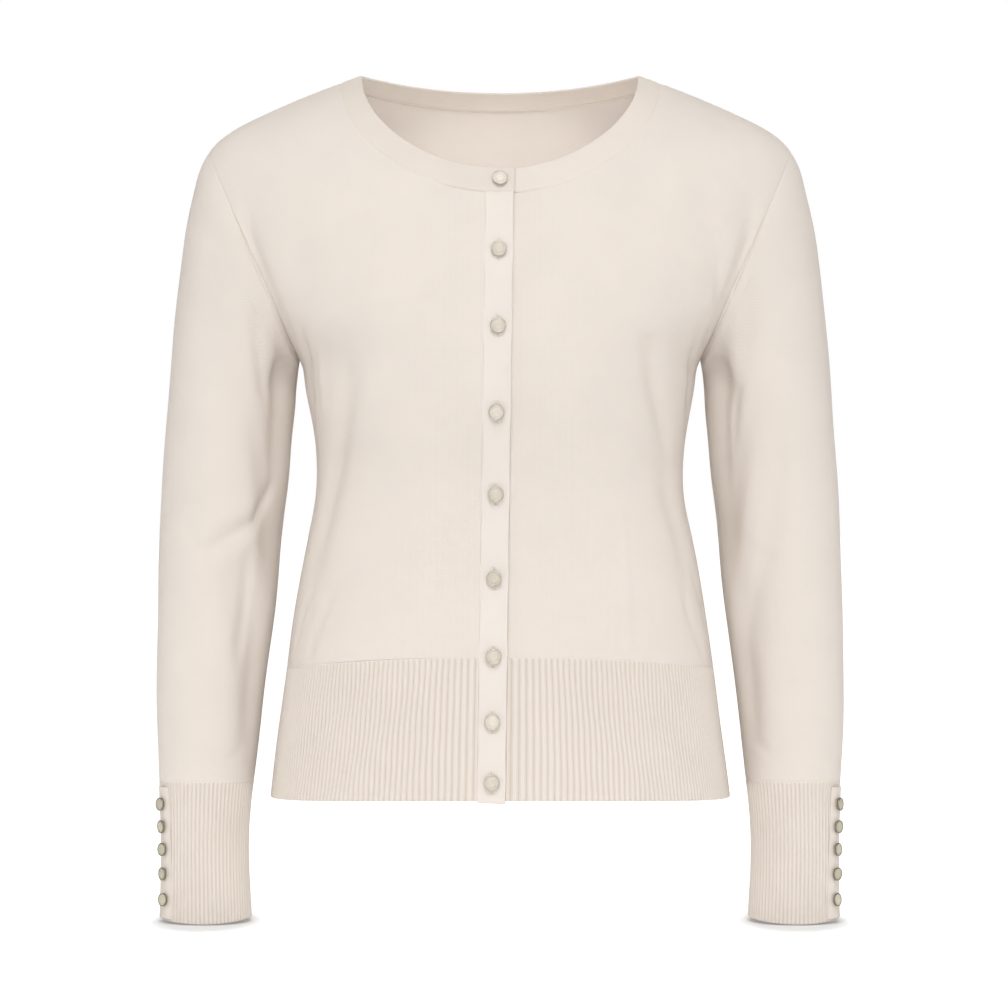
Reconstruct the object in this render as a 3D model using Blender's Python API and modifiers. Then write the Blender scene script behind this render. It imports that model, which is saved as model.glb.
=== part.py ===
"""Button cardigan: a fine-knit, round-necked cardigan in its worn shape, empty inside.

Frame: metres, +Z up, origin between the two shoulder-neck points, where a wearer's shoulders hold it.
-Y is the front and +X is the wearer's left.

The cloth lies on one torso surface, a stack of superellipse sections, and on one pair of sleeve tubes.
Panels are patches of those surfaces between the garment's own seams, each a wall of even thickness.
The right front laps over the left front, and the buttons stand on the lapping placket.
"""

import math
from collections import namedtuple

import bpy
import numpy as np
from mathutils import Vector

# ---------------------------------------------------------------- driving sizes
WALL = 0.0015               # plain knit
BAND_WALL = 0.0018          # ribs, neckband and plackets, which are knitted thicker
SEAM_GAP = 0.0003           # clear gap between two sewn edges
LAP_GAP = 0.0003            # clear gap between two layers that lie on each other

SHOULDER_X, SHOULDER_Z = 0.2268, -0.0600    # top of the armhole, on the shoulder ridge
UNDERARM_X, UNDERARM_Z = 0.1560, -0.2220    # bottom of the armhole, on the side seam

HEM_Z, HEM_FRONT_RISE = -0.5610, 0.0045     # hem at the side seam, and how far it rises at centre front
RIB_Z, RIB_FRONT_RISE = -0.4594, 0.0100     # seam between plain knit and hem rib

PLACKET_WIDTH = 0.0210
PLACKET_LEAN = 0.0065                       # how far the placket drifts to the wearer's right at the hem
PLACKET_TOP_Z = -0.1000                     # where that drift starts
PLACKET_DROP = 0.0012                       # the lapping placket hangs this much below the hem
TAB_OVERHANG = 0.0010                       # the neckband's end is this much wider than the placket
LAP_RAMP = 0.0320                           # width over which the right front climbs onto the lap

CUFF_SEAM = 13                              # row of SLEEVE where the cuff starts
BUTTON_RADIUS, CUFF_BUTTON_RADIUS = 0.0060, 0.0051
BUTTON_THICKNESS = 0.0026
SHANK_RADIUS, SHANK_HEIGHT = 0.0016, 0.0007

# Sections of the torso, from the neck point to below the hem. Above SHOULDER_Z the half width is the
# shoulder ridge; between SHOULDER_Z and UNDERARM_Z it is the width that the armhole cuts off.
# The section is x^power + y^ridge_power = 1: a ridge_power below the power sharpens the shoulder.
Level = namedtuple("Level", "z half_width front_depth back_depth power ridge_power")
TORSO = (
    Level(0.0000, 0.1076, 0.0250, 0.0570, 2.00, 1.10),
    Level(-0.0155, 0.1490, 0.0380, 0.0705, 2.00, 1.42),
    Level(-0.0300, 0.1830, 0.0485, 0.0775, 2.00, 1.72),
    Level(-0.0410, 0.2050, 0.0560, 0.0810, 2.00, 1.88),
    Level(-0.0510, 0.2190, 0.0630, 0.0835, 2.00, 1.96),
    Level(-0.0600, 0.2268, 0.0690, 0.0855, 2.00, 2.00),
    Level(-0.0750, 0.2335, 0.0780, 0.0890, 2.03, 2.03),
    Level(-0.0900, 0.2352, 0.0850, 0.0920, 2.05, 2.05),
    Level(-0.1050, 0.2338, 0.0908, 0.0942, 2.05, 2.05),
    Level(-0.1250, 0.2280, 0.0968, 0.0965, 2.05, 2.05),
    Level(-0.1450, 0.2184, 0.1014, 0.0978, 2.05, 2.05),
    Level(-0.1650, 0.2055, 0.1055, 0.0980, 2.07, 2.07),
    Level(-0.1850, 0.1895, 0.1092, 0.0971, 2.10, 2.10),
    Level(-0.2050, 0.1705, 0.1120, 0.0953, 2.13, 2.13),
    Level(-0.2220, 0.1560, 0.1133, 0.0931, 2.17, 2.17),
    Level(-0.2400, 0.1518, 0.1133, 0.0902, 2.20, 2.20),
    Level(-0.2600, 0.1482, 0.1113, 0.0866, 2.25, 2.25),
    Level(-0.2850, 0.1437, 0.1065, 0.0822, 2.30, 2.30),
    Level(-0.3070, 0.1422, 0.1018, 0.0793, 2.33, 2.33),
    Level(-0.3280, 0.1432, 0.0985, 0.0790, 2.35, 2.35),
    Level(-0.3560, 0.1488, 0.0968, 0.0815, 2.35, 2.35),
    Level(-0.3850, 0.1548, 0.0969, 0.0868, 2.35, 2.35),
    Level(-0.4200, 0.1606, 0.0984, 0.0942, 2.35, 2.35),
    Level(-0.4600, 0.1657, 0.1006, 0.1020, 2.35, 2.35),
    Level(-0.5100, 0.1724, 0.1034, 0.1092, 2.35, 2.35),
    Level(-0.5610, 0.1790, 0.1060, 0.1142, 2.35, 2.35),
    Level(-0.5900, 0.1825, 0.1075, 0.1165, 2.35, 2.35),
)

# Neckline: where it meets the shoulder ridge, and how far it drops at centre front and centre back.
# Its height between them is (1 - x^power)^rounding of the drop.
Neckline = namedtuple("Neckline", "ridge_x front_z back_z")
NECK_EDGE = Neckline(0.1076, -0.0805, -0.0056)
NECK_SEAM = Neckline(0.1241, -0.0996, -0.0180)
Curve = namedtuple("Curve", "power rounding")
FRONT_NECK, BACK_NECK = Curve(1.85, 0.54), Curve(2.0, 1.15)

# Sections of the left sleeve, from the armhole to the end of the cuff. Each is a closed loop in the
# plane through its outer and inner points; depth is the front and back reach from axis_y.
Ring = namedtuple("Ring", "outer_x outer_z inner_x inner_z depth axis_y")
SLEEVE = (
    Ring(SHOULDER_X, SHOULDER_Z, UNDERARM_X, UNDERARM_Z, 0.0510, 0.001),
    Ring(0.2338, -0.0740, 0.1566, -0.2255, 0.0512, 0.002),
    Ring(0.2390, -0.0940, 0.1571, -0.2298, 0.0514, 0.002),
    Ring(0.2446, -0.1200, 0.1577, -0.2352, 0.0516, 0.003),
    Ring(0.2492, -0.1530, 0.1584, -0.2425, 0.0516, 0.004),
    Ring(0.2536, -0.1880, 0.1592, -0.2520, 0.0512, 0.005),
    Ring(0.2572, -0.2250, 0.1606, -0.2660, 0.0504, 0.006),
    Ring(0.2602, -0.2660, 0.1630, -0.2890, 0.0490, 0.007),
    Ring(0.2635, -0.3120, 0.1653, -0.3230, 0.0468, 0.008),
    Ring(0.2661, -0.3620, 0.1694, -0.3660, 0.0446, 0.008),
    Ring(0.2673, -0.4110, 0.1748, -0.4120, 0.0424, 0.006),
    Ring(0.2678, -0.4600, 0.1818, -0.4600, 0.0400, 0.003),
    Ring(0.2672, -0.5050, 0.1868, -0.5050, 0.0378, -0.001),
    Ring(0.2653, -0.5480, 0.1915, -0.5480, 0.0352, -0.004),
    Ring(0.2640, -0.5823, 0.1944, -0.5823, 0.0325, -0.006),
    Ring(0.2636, -0.6167, 0.1951, -0.6167, 0.0317, -0.007),
    Ring(0.2642, -0.6545, 0.1930, -0.6545, 0.0330, -0.008),
)
RING_POWER = 2.15                   # squareness of a sleeve section away from the armhole
ARMHOLE_FADE = 6.0                  # rows over which the armhole's own outline fades out
CUFF_TILT = 0.0025                  # how much lower the front of the cuff's end hangs than its middle

# Largest soft folds of the sleeves: row of SLEEVE, place round the sleeve in degrees (0 outer point,
# 90 front, 180 inner point), reach in rows and degrees, slant in degrees a row, and depth inwards.
Fold = namedtuple("Fold", "row angle row_reach angle_reach slant depth")
SLEEVE_FOLDS = (
    Fold(4.2, 148, 1.6, 15, -9, 0.0045),
    Fold(7.6, 128, 1.3, 13, 12, 0.0030),
    Fold(8.9, 166, 0.8, 26, -10, 0.0042),
    Fold(9.8, 108, 0.9, 14, 16, 0.0024),
    Fold(8.9, 262, 1.1, 18, 8, 0.0030),
    Fold(5.6, 214, 1.4, 16, 9, 0.0035),
)

# Front buttons below the neckband's own: height of each on the placket.
FRONT_BUTTON_Z = (-0.1433, -0.2012, -0.2649, -0.3264, -0.3901, -0.4487, -0.4976, -0.5428)
NECK_BUTTON_Z = -0.0898
# Cuff buttons: share of the cuff's length, with the placket's turn towards the front at each end.
CUFF_BUTTON_AT = (0.165, 0.339, 0.513, 0.687, 0.861)
CUFF_PLACKET_TURN = (31.0, 38.0)            # degrees from the outermost line, at the cuff's top and end
CUFF_PLACKET_WIDTH = 0.0120
CUFF_PLACKET_SPAN = (0.04, 0.985)           # shares of the cuff's length that it covers

# Mesh sizes: cells across and along each patch.
NECK_COLUMNS, SHOULDER_COLUMNS = 7, 5       # of half a panel
LOWER_ROWS, UPPER_ROWS, RIB_ROWS = 7, 12, 3
SLEEVE_COLUMNS, SLEEVE_ROWS, CUFF_ROWS = 2 * UPPER_ROWS, 14, 5
LAP_COLUMNS, PLACKET_ROWS = 2, 18
BUTTON_STEPS = 14

FRONT, BACK = -1, 1                         # signs of y
LEFT, RIGHT = 1, -1                         # signs of x
MIDDLE = 0.000001                           # x of a panel that starts at the centre line

CLOTH = ("cream_knit", (0.82, 0.76, 0.70, 1.0), 0.9, 0.0)
METAL = ("satin_nickel", (0.70, 0.68, 0.62, 1.0), 0.25, 1.0)


# ---------------------------------------------------------------- curves and surfaces
def spline(x, y):
    """A natural cubic through the points, as a function. x may rise or fall."""
    order = np.argsort(x)
    x, y = np.asarray(x, float)[order], np.asarray(y, float)[order]
    step, slope = np.diff(x), np.diff(y) / np.diff(x)
    matrix, right = np.eye(len(x)), np.zeros(len(x))
    for i in range(1, len(x) - 1):
        matrix[i, i - 1:i + 2] = step[i - 1], 2 * (step[i - 1] + step[i]), step[i]
        right[i] = 6 * (slope[i] - slope[i - 1])
    bend = np.linalg.solve(matrix, right)

    def value(at):
        at = np.asarray(at, float)
        i = np.clip(np.searchsorted(x, at) - 1, 0, len(x) - 2)
        a, b, h = x[i + 1] - at, at - x[i], step[i]
        return (
            (bend[i] * a**3 + bend[i + 1] * b**3) / (6 * h)
            + (y[i] / h - bend[i] * h / 6) * a
            + (y[i + 1] / h - bend[i + 1] * h / 6) * b
        )

    return value


def column(rows, name):
    return [getattr(row, name) for row in rows]


half_width = spline(column(TORSO, "z"), column(TORSO, "half_width"))
front_depth = spline(column(TORSO, "z"), column(TORSO, "front_depth"))
back_depth = spline(column(TORSO, "z"), column(TORSO, "back_depth"))
power_at = spline(column(TORSO, "z"), column(TORSO, "power"))
ridge_power_at = spline(column(TORSO, "z"), column(TORSO, "ridge_power"))


def depth(z, face):
    return front_depth(z) if face == FRONT else back_depth(z)


def torso_point(angle, z, face, side):
    """Points of the torso surface. angle is 0 on the side seam or shoulder ridge and 90 degrees at the centre."""
    x = side * half_width(z) * np.clip(np.cos(angle), 0, 1) ** (2 / power_at(z))
    y = face * depth(z, face) * np.clip(np.sin(angle), 0, 1) ** (2 / ridge_power_at(z))
    return np.stack([x, y, z + 0 * x], axis=-1)


def torso_angle(x, z):
    """The angle at which the torso surface is x from the middle."""
    share = np.clip(np.abs(x) / half_width(z), 0, 1)
    return np.arccos(share ** (power_at(z) / 2))


def torso_normal(points, face):
    """Outward normals of the torso surface at its own points, from the slope of its equation."""
    x, y, z = np.abs(points[..., 0]), np.abs(points[..., 1]), points[..., 2]

    def reach(z):
        return (x / half_width(z)) ** power_at(z) + (y / depth(z, face)) ** ridge_power_at(z)

    small = 1e-5
    power, ridge_power = power_at(z), ridge_power_at(z)
    normal = np.stack(
        [
            np.sign(points[..., 0]) * power * (x / half_width(z)) ** (power - 1) / half_width(z),
            face * ridge_power * (y / depth(z, face)) ** (ridge_power - 1) / depth(z, face),
            (reach(z + small) - reach(z - small)) / (2 * small),
        ],
        axis=-1,
    )
    return normal / np.linalg.norm(normal, axis=-1, keepdims=True)


def smoothstep(share):
    share = np.clip(share, 0, 1)
    return share * share * (3 - 2 * share)


def ridge_z(x):
    """Height of the shoulder ridge at x."""
    heights = np.linspace(SHOULDER_Z, 0, 200)
    return np.interp(x, half_width(heights)[::-1], heights[::-1])


def armhole_x(z):
    """The armhole is straight from the front: x of its line at height z."""
    share = (z - UNDERARM_Z) / (SHOULDER_Z - UNDERARM_Z)
    return UNDERARM_X + share * (SHOULDER_X - UNDERARM_X)


def placket_middle(z):
    """x of the placket's middle line, which leans to the wearer's right."""
    return -PLACKET_LEAN * np.clip((PLACKET_TOP_Z - z) / (PLACKET_TOP_Z - HEM_Z), 0, 1.05)


def seam_z(angle, side_z, rise, face):
    """Height of a level seam that rises by rise from the side seam to centre front."""
    return side_z + (rise * np.sin(angle) ** 2 if face == FRONT else 0 * angle)


def even(points, count):
    """Rows of the polyline that lie at equal distances along it in space, as fractional row numbers."""
    along = np.concatenate([[0], np.cumsum(np.linalg.norm(np.diff(points, axis=0), axis=1))])
    return np.interp(np.linspace(0, along[-1], count), along, np.arange(len(points)))


def pick(values, rows):
    return np.interp(rows, np.arange(len(values)), values)


def neckline_z(line, face, x):
    """Height of a neckline at x."""
    curve, drop_z = (FRONT_NECK, line.front_z) if face == FRONT else (BACK_NECK, line.back_z)
    top_z = ridge_z(line.ridge_x)
    share = np.clip(1 - (np.abs(x) / line.ridge_x) ** curve.power, 0, 1)
    return top_z + (drop_z - top_z) * share**curve.rounding


def neckline(line, face, first_x, count):
    """(angle, z) along a neckline, from first_x near the centre to the shoulder ridge, evenly spaced."""
    share = np.sin(np.linspace(0, math.pi / 2, 400))
    x = first_x + share * (line.ridge_x - first_x)
    z = neckline_z(line, face, x)
    angle = torso_angle(x, z)
    angle[-1] = 0
    rows = even(torso_point(angle, z, face, LEFT), count)
    return pick(angle, rows), pick(z, rows)


def armhole(count):
    """(angle, z) up one side of the armhole, from the underarm to the shoulder, at equal turns of the sleeve."""
    turn = np.linspace(0, math.pi, count)
    z = UNDERARM_Z + (SHOULDER_Z - UNDERARM_Z) * (1 - np.cos(turn)) / 2
    angle = torso_angle(armhole_x(z), z)
    angle[[0, -1]] = 0
    return angle, z


def lap_height(x, z):
    """How far the right front's surface stands off the torso, where it climbs onto the lap."""
    beyond = (placket_middle(z) - PLACKET_WIDTH / 2) - x
    return (LAP_GAP + BAND_WALL) * (1 - smoothstep(beyond / LAP_RAMP))


# ---------------------------------------------------------------- patches of the torso
def half_panel(face, side, edge_x):
    """(points, normals) of one half of a body panel, from the rib seam up to the neckline and shoulder seam.

    edge_x(z) is the distance of its inner edge from the middle. Columns run from that edge to the
    side seam and the armhole. The upper rows are a Coons patch of angle and height between their edges.
    """
    rise = RIB_FRONT_RISE if face == FRONT else 0.0
    across = np.linspace(0, 1, NECK_COLUMNS + SHOULDER_COLUMNS + 1)[None, :]
    up = np.linspace(0, 1, LOWER_ROWS + 1)[:, None]
    inner_z = (RIB_Z + rise) + up * (UNDERARM_Z - RIB_Z - rise)
    outer_z = RIB_Z + up * (UNDERARM_Z - RIB_Z)
    angle = torso_angle(edge_x(inner_z), inner_z) * (1 - across)
    z = outer_z + (inner_z - outer_z) * np.cos(across * math.pi / 2) ** 2
    lower = np.stack([angle, z], axis=-1)

    first_x = edge_x(PLACKET_TOP_Z)
    neck_angle, neck_z = neckline(NECK_SEAM, face, first_x, NECK_COLUMNS + 1)
    shoulder_z = np.linspace(neck_z[-1], SHOULDER_Z, SHOULDER_COLUMNS + 1)[1:]
    top = np.stack([np.append(neck_angle, 0 * shoulder_z), np.append(neck_z, shoulder_z)], axis=-1)[None, :]
    bottom = lower[-1:]
    up = np.linspace(0, 1, UPPER_ROWS + 1)[:, None]
    inner_z = UNDERARM_Z + up * (neck_z[0] - UNDERARM_Z)
    inner = np.stack([torso_angle(edge_x(inner_z), inner_z), inner_z], axis=-1)
    outer = np.stack(armhole(UPPER_ROWS + 1), axis=-1)[:, None]
    up, across = up[..., None], across[..., None]
    corners = (
        (1 - across) * ((1 - up) * bottom[:, :1] + up * top[:, :1])
        + across * ((1 - up) * bottom[:, -1:] + up * top[:, -1:])
    )
    upper = (1 - up) * bottom + up * top + (1 - across) * inner + across * outer - corners
    whole = np.concatenate([lower, upper[1:]])
    points = torso_point(whole[..., 0], whole[..., 1], face, side)
    normals = torso_normal(points, face)
    normals[LOWER_ROWS:, -1] = armhole_normals(UPPER_ROWS + 1, face, side)
    return points, normals


def rib_panel(face, side, edge_x):
    """Grid of points of one half of a hem rib, from the hem up to the rib seam."""
    hem_rise, rib_rise = (HEM_FRONT_RISE, RIB_FRONT_RISE) if face == FRONT else (0.0, 0.0)
    low_z, high_z = HEM_Z + hem_rise, RIB_Z + rib_rise
    across = np.linspace(0, 1, NECK_COLUMNS + SHOULDER_COLUMNS + 1)
    grid = []
    for up in np.linspace(0, 1, RIB_ROWS + 1):
        edge_z = low_z + up * (high_z - low_z)
        angle = torso_angle(edge_x(edge_z), edge_z) * (1 - across)
        z = (1 - up) * seam_z(angle, HEM_Z, hem_rise, face) + up * seam_z(angle, RIB_Z, rib_rise, face)
        grid.append(torso_point(angle, z, face, side))
    return np.array(grid), torso_normal(np.array(grid), face)


def placket_grid(low_z, height):
    """Grid of points of a placket strip from low_z up to the neck seam, height off the torso surface."""
    across = PLACKET_WIDTH * np.linspace(-0.5, 0.5, 3)[None, :]
    top_z = neckline_z(NECK_SEAM, FRONT, across)
    z = low_z + np.linspace(0, 1, PLACKET_ROWS + 1)[:, None] * (top_z - low_z)
    x = placket_middle(z) + across
    return strip_on_front(x, z, height)


def strip_on_front(x, z, height):
    """(points, normals) of the front torso surface at x and z, height off it."""
    points = torso_point(torso_angle(x, z), z, FRONT, 1)
    points[..., 0] = x
    normals = torso_normal(points, FRONT)
    return points + np.asarray(height)[..., None] * normals, normals


def neckband_grid():
    """(points, normals) of the neckband, from its seam to its edge and from its under end round to its lap."""
    half = PLACKET_WIDTH / 2
    under_x = np.linspace(-half, half, LAP_COLUMNS + 1)
    over_x = np.linspace(-half, half + TAB_OVERHANG, LAP_COLUMNS + 1)
    rings = []
    for share in np.linspace(0, 1, 3):
        line = Neckline(*(a + share * (b - a) for a, b in zip(NECK_SEAM, NECK_EDGE)))
        parts = [strip_on_front(under_x, neckline_z(line, FRONT, under_x), 0.0)]
        for face, side, first_x in (
            (FRONT, LEFT, half),
            (BACK, LEFT, MIDDLE),
            (BACK, RIGHT, MIDDLE),
            (FRONT, RIGHT, half),
        ):
            angle, z = neckline(line, face, first_x, NECK_COLUMNS + 1)
            points = torso_point(angle, z, face, side)
            normals = torso_normal(points, face)
            if (face, side) == (FRONT, RIGHT):
                points = points + lap_height(points[..., 0], z)[:, None] * normals
            if (face, side) in ((BACK, LEFT), (FRONT, RIGHT)):
                points, normals = points[::-1], normals[::-1]
            parts.append((points[1:], normals[1:]))
        over_z = neckline_z(line, FRONT, over_x)
        points, normals = strip_on_front(over_x, over_z, LAP_GAP + BAND_WALL)
        parts.append((points[1:], normals[1:]))
        rings.append([np.concatenate([part[k] for part in parts]) for k in (0, 1)])
    points, normals = (np.array([ring[k] for ring in rings]) for k in (0, 1))
    return points, normals


# ---------------------------------------------------------------- sleeves
sleeve_at = {
    name: spline(range(len(SLEEVE)), column(SLEEVE, name)) for name in Ring._fields
}


def armhole_depth(share, face):
    """Reach of the armhole's outline from y 0, at a share of the way from underarm to shoulder."""
    z = UNDERARM_Z + share * (SHOULDER_Z - UNDERARM_Z)
    points = torso_point(torso_angle(armhole_x(z), z), z, face, LEFT)
    reach = np.abs(points[..., 1])
    return np.where((share <= 0) | (share >= 1), 0, reach)


def sleeve_point(row, angle):
    """Points of the left sleeve's surface. row is a fractional row of SLEEVE; angle is as in SLEEVE_FOLDS."""
    at = {name: value(row) for name, value in sleeve_at.items()}
    turn = np.radians(angle)
    share = (1 + np.cos(turn)) / 2
    face = np.where(np.sin(turn) >= 0, FRONT, BACK)
    oval = at["depth"] * np.clip(1 - np.abs(np.cos(turn)) ** RING_POWER, 0, 1) ** (1 / RING_POWER)
    start = np.where(face == FRONT, armhole_depth(share, FRONT), armhole_depth(share, BACK))
    fade = smoothstep(row / ARMHOLE_FADE)
    reach = start * (1 - fade) + oval * fade
    fold = sum(fold_depth(fold, row, angle) for fold in SLEEVE_FOLDS)
    middle_x, middle_z = (at["outer_x"] + at["inner_x"]) / 2, (at["outer_z"] + at["inner_z"]) / 2
    half = np.hypot(at["outer_x"] - at["inner_x"], at["outer_z"] - at["inner_z"]) / 2
    squeeze = 1 - fold / (0.5 * (half + at["depth"]))
    cuff_share = np.clip((row - CUFF_SEAM) / (len(SLEEVE) - 1 - CUFF_SEAM), 0, 1)
    sag = CUFF_TILT * cuff_share**2 * np.clip(np.sin(turn), 0, 1) ** 2
    x = middle_x + (at["outer_x"] - middle_x) * np.cos(turn) * squeeze
    z = middle_z + (at["outer_z"] - middle_z) * np.cos(turn) * squeeze - sag
    y = fade * at["axis_y"] + face * reach * squeeze
    return np.stack([x + 0 * y, y, z + 0 * y], axis=-1)


def fold_depth(fold, row, angle):
    """Depth of one soft fold at a row and angle of the sleeve."""
    off_row = (row - fold.row) / fold.row_reach
    off_angle = (angle - fold.angle - fold.slant * (row - fold.row)) / fold.angle_reach
    return fold.depth * np.exp(-(off_row**2) - off_angle**2)


def sleeve_surface(row, angle, height, side):
    """(points, outward normals) of one sleeve, height off its surface."""
    row, angle = np.broadcast_arrays(np.asarray(row, float), np.asarray(angle, float))
    along = sleeve_point(row + 0.02, angle) - sleeve_point(row - 0.02, angle)
    round_it = sleeve_point(row, angle + 1) - sleeve_point(row, angle - 1)
    normals = np.cross(round_it, along)
    normals /= np.linalg.norm(normals, axis=-1, keepdims=True)
    flip = np.array([side, 1, 1])
    return (sleeve_point(row, angle) + height * normals) * flip, normals * flip


def sleeve_grid(first_row, last_row, rows, side):
    """Closed rings of points of a sleeve or cuff, from the top down."""
    row = np.linspace(first_row, last_row, rows + 1)[:, None]
    angle = np.arange(SLEEVE_COLUMNS)[None, :] * 360 / SLEEVE_COLUMNS
    return sleeve_surface(row, angle, 0.0, side)


def armhole_normals(count, face, side):
    """Normals up one side of the armhole, half way between those of the torso and of the sleeve."""
    angle, z = armhole(count)
    torso = torso_normal(torso_point(angle, z, face, side), face)
    turn = np.linspace(180, 0, count)
    _, sleeve = sleeve_surface(0, turn if face == FRONT else -turn, 0.0, side)
    both = torso + sleeve
    return both / np.linalg.norm(both, axis=-1, keepdims=True)


def cuff_placket_angle(share):
    return CUFF_PLACKET_TURN[0] + share * (CUFF_PLACKET_TURN[1] - CUFF_PLACKET_TURN[0])


def cuff_surface(share, angle, height, side):
    """(points, outward normals) at shares of the cuff's length, height off its surface."""
    return sleeve_surface(CUFF_SEAM + share * (len(SLEEVE) - 1 - CUFF_SEAM), angle, height, side)


# ---------------------------------------------------------------- making objects
def clear_scene():
    for old in list(bpy.data.objects):
        bpy.data.objects.remove(old)


def make_material(name, colour, roughness, metallic):
    material = bpy.data.materials.new(name)
    material.use_nodes = True
    shader = material.node_tree.nodes["Principled BSDF"]
    shader.inputs["Base Color"].default_value = colour
    shader.inputs["Roughness"].default_value = roughness
    shader.inputs["Metallic"].default_value = metallic
    return material


def inset(grid, edges, gap=SEAM_GAP):
    """Pulls the named edges of an open grid in by half a seam gap: first and last row, first and last column."""
    moved = grid.copy()
    for name, edge, inner in (
        ("bottom", np.s_[0, :], np.s_[1, :]),
        ("top", np.s_[-1, :], np.s_[-2, :]),
        ("inner", np.s_[:, 0], np.s_[:, 1]),
        ("outer", np.s_[:, -1], np.s_[:, -2]),
    ):
        if name in edges:
            way = moved[inner] - moved[edge]
            moved[edge] += way * (gap / 2 / np.linalg.norm(way, axis=-1, keepdims=True))
    return moved


def wall_object(name, outer, normals, wall, material, collection, closed=False):
    """A sheet of cloth: the outer grid of points, the same grid moved inwards by wall, and the cut edges.

    closed joins the last column of the grid to the first.
    """
    rows, columns = outer.shape[:2]
    points = np.concatenate([outer.reshape(-1, 3), (outer - wall * normals).reshape(-1, 3)])
    under = rows * columns
    faces = []
    for r in range(rows - 1):
        for c in range(columns if closed else columns - 1):
            d = (c + 1) % columns
            face = (r * columns + c, r * columns + d, (r + 1) * columns + d, (r + 1) * columns + c)
            faces += [face, tuple(i + under for i in reversed(face))]
    border = []
    for c in range(columns if closed else columns - 1):
        d = (c + 1) % columns
        border += [(d, c), ((rows - 1) * columns + c, (rows - 1) * columns + d)]
    if not closed:
        for r in range(rows - 1):
            border += [(r * columns, (r + 1) * columns), ((r + 2) * columns - 1, (r + 1) * columns - 1)]
    faces += [(a, b, b + under, a + under) for a, b in border]
    first = points[list(faces[0])]
    if np.dot(np.cross(first[1] - first[0], first[2] - first[0]), normals[0, 0] + normals[1, 1]) < 0:
        faces = [face[::-1] for face in faces]
    mesh = bpy.data.meshes.new(name)
    mesh.from_pydata([Vector(p) for p in points], [], faces)
    mesh.shade_smooth()
    mesh.materials.append(material)
    piece = bpy.data.objects.new(name, mesh)
    collection.objects.link(piece)
    return piece


def button_mesh(name, radius, material):
    """A turned button: flat top with a bevelled edge, and a short shank below. Its seat is at z 0."""
    top = SHANK_HEIGHT + BUTTON_THICKNESS
    profile = (
        (0.0, top),
        (radius * 0.70, top - 0.0001),
        (radius * 0.93, top - 0.0007),
        (radius, top - 0.0014),
        (radius * 0.90, SHANK_HEIGHT),
        (SHANK_RADIUS, SHANK_HEIGHT),
        (SHANK_RADIUS, 0.0),
        (0.0, 0.0),
    )
    mesh = bpy.data.meshes.new(name)
    edges = [(i, i + 1) for i in range(len(profile) - 1)]
    mesh.from_pydata([(x, 0, z) for x, z in profile], edges, [])
    mesh.materials.append(material)
    return mesh


def button_object(name, mesh, seat, normal, collection):
    """One button, standing a lap gap off its seat, along the cloth's normal."""
    piece = bpy.data.objects.new(name, mesh)
    piece.rotation_mode = "QUATERNION"
    piece.rotation_quaternion = Vector(normal).to_track_quat("Z", "Y")
    piece.location = Vector(seat) + LAP_GAP * Vector(normal)
    collection.objects.link(piece)
    turn = piece.modifiers.new("turn", "SCREW")
    turn.steps = turn.render_steps = BUTTON_STEPS
    turn.use_merge_vertices = True
    turn.merge_threshold = 0.00001
    return piece


# ---------------------------------------------------------------- sub-assemblies
def make_body(cloth, collection):
    """Back, two fronts and their hem ribs."""
    def middle(z):
        return 0 * np.asarray(z, float) + MIDDLE

    def right_edge(z):
        return PLACKET_WIDTH / 2 - placket_middle(z)

    def left_edge(z):
        return PLACKET_WIDTH / 2 + placket_middle(z)

    for word, grid_of, wall, seams in (
        ("panel", half_panel, WALL, ("bottom", "top", "outer", "inner")),
        ("rib", rib_panel, BAND_WALL, ("top", "outer", "inner")),
    ):
        half, normals = grid_of(BACK, LEFT, middle)
        whole, whole_normals = both_halves(inset(half, seams[:-1])), both_halves(normals)
        wall_object(f"back_{word}", whole, whole_normals, wall, cloth, collection)
        left, normals = grid_of(FRONT, LEFT, left_edge)
        wall_object(f"left_front_{word}", inset(left, seams), normals, wall, cloth, collection)
        right, normals = grid_of(FRONT, RIGHT, right_edge)
        right = inset(right, seams)
        right = right + lap_height(right[..., 0], right[..., 2])[..., None] * normals
        wall_object(f"right_front_{word}", right, normals, wall, cloth, collection)


def both_halves(grid):
    """The grid of a left half, joined to its mirror image at its first column."""
    grid = grid.copy()
    grid[:, 0, 0] = 0
    return np.concatenate([(grid * (-1, 1, 1))[:, :0:-1], grid], axis=1)


def make_plackets(cloth, collection):
    """The button placket below and the buttonhole placket that laps over it."""
    hem_z = HEM_Z + HEM_FRONT_RISE
    for name, height, low_z in (
        ("button_placket", 0.0, hem_z),
        ("buttonhole_placket", LAP_GAP + BAND_WALL, hem_z - PLACKET_DROP),
    ):
        strip, normals = placket_grid(low_z, height)
        strip = inset(strip, ("top", "inner", "outer"))
        wall_object(name, strip, normals, BAND_WALL, cloth, collection)


def make_neckband(cloth, collection):
    band, normals = neckband_grid()
    wall_object("neckband", inset(band, ("bottom",)), normals, BAND_WALL, cloth, collection)


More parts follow.
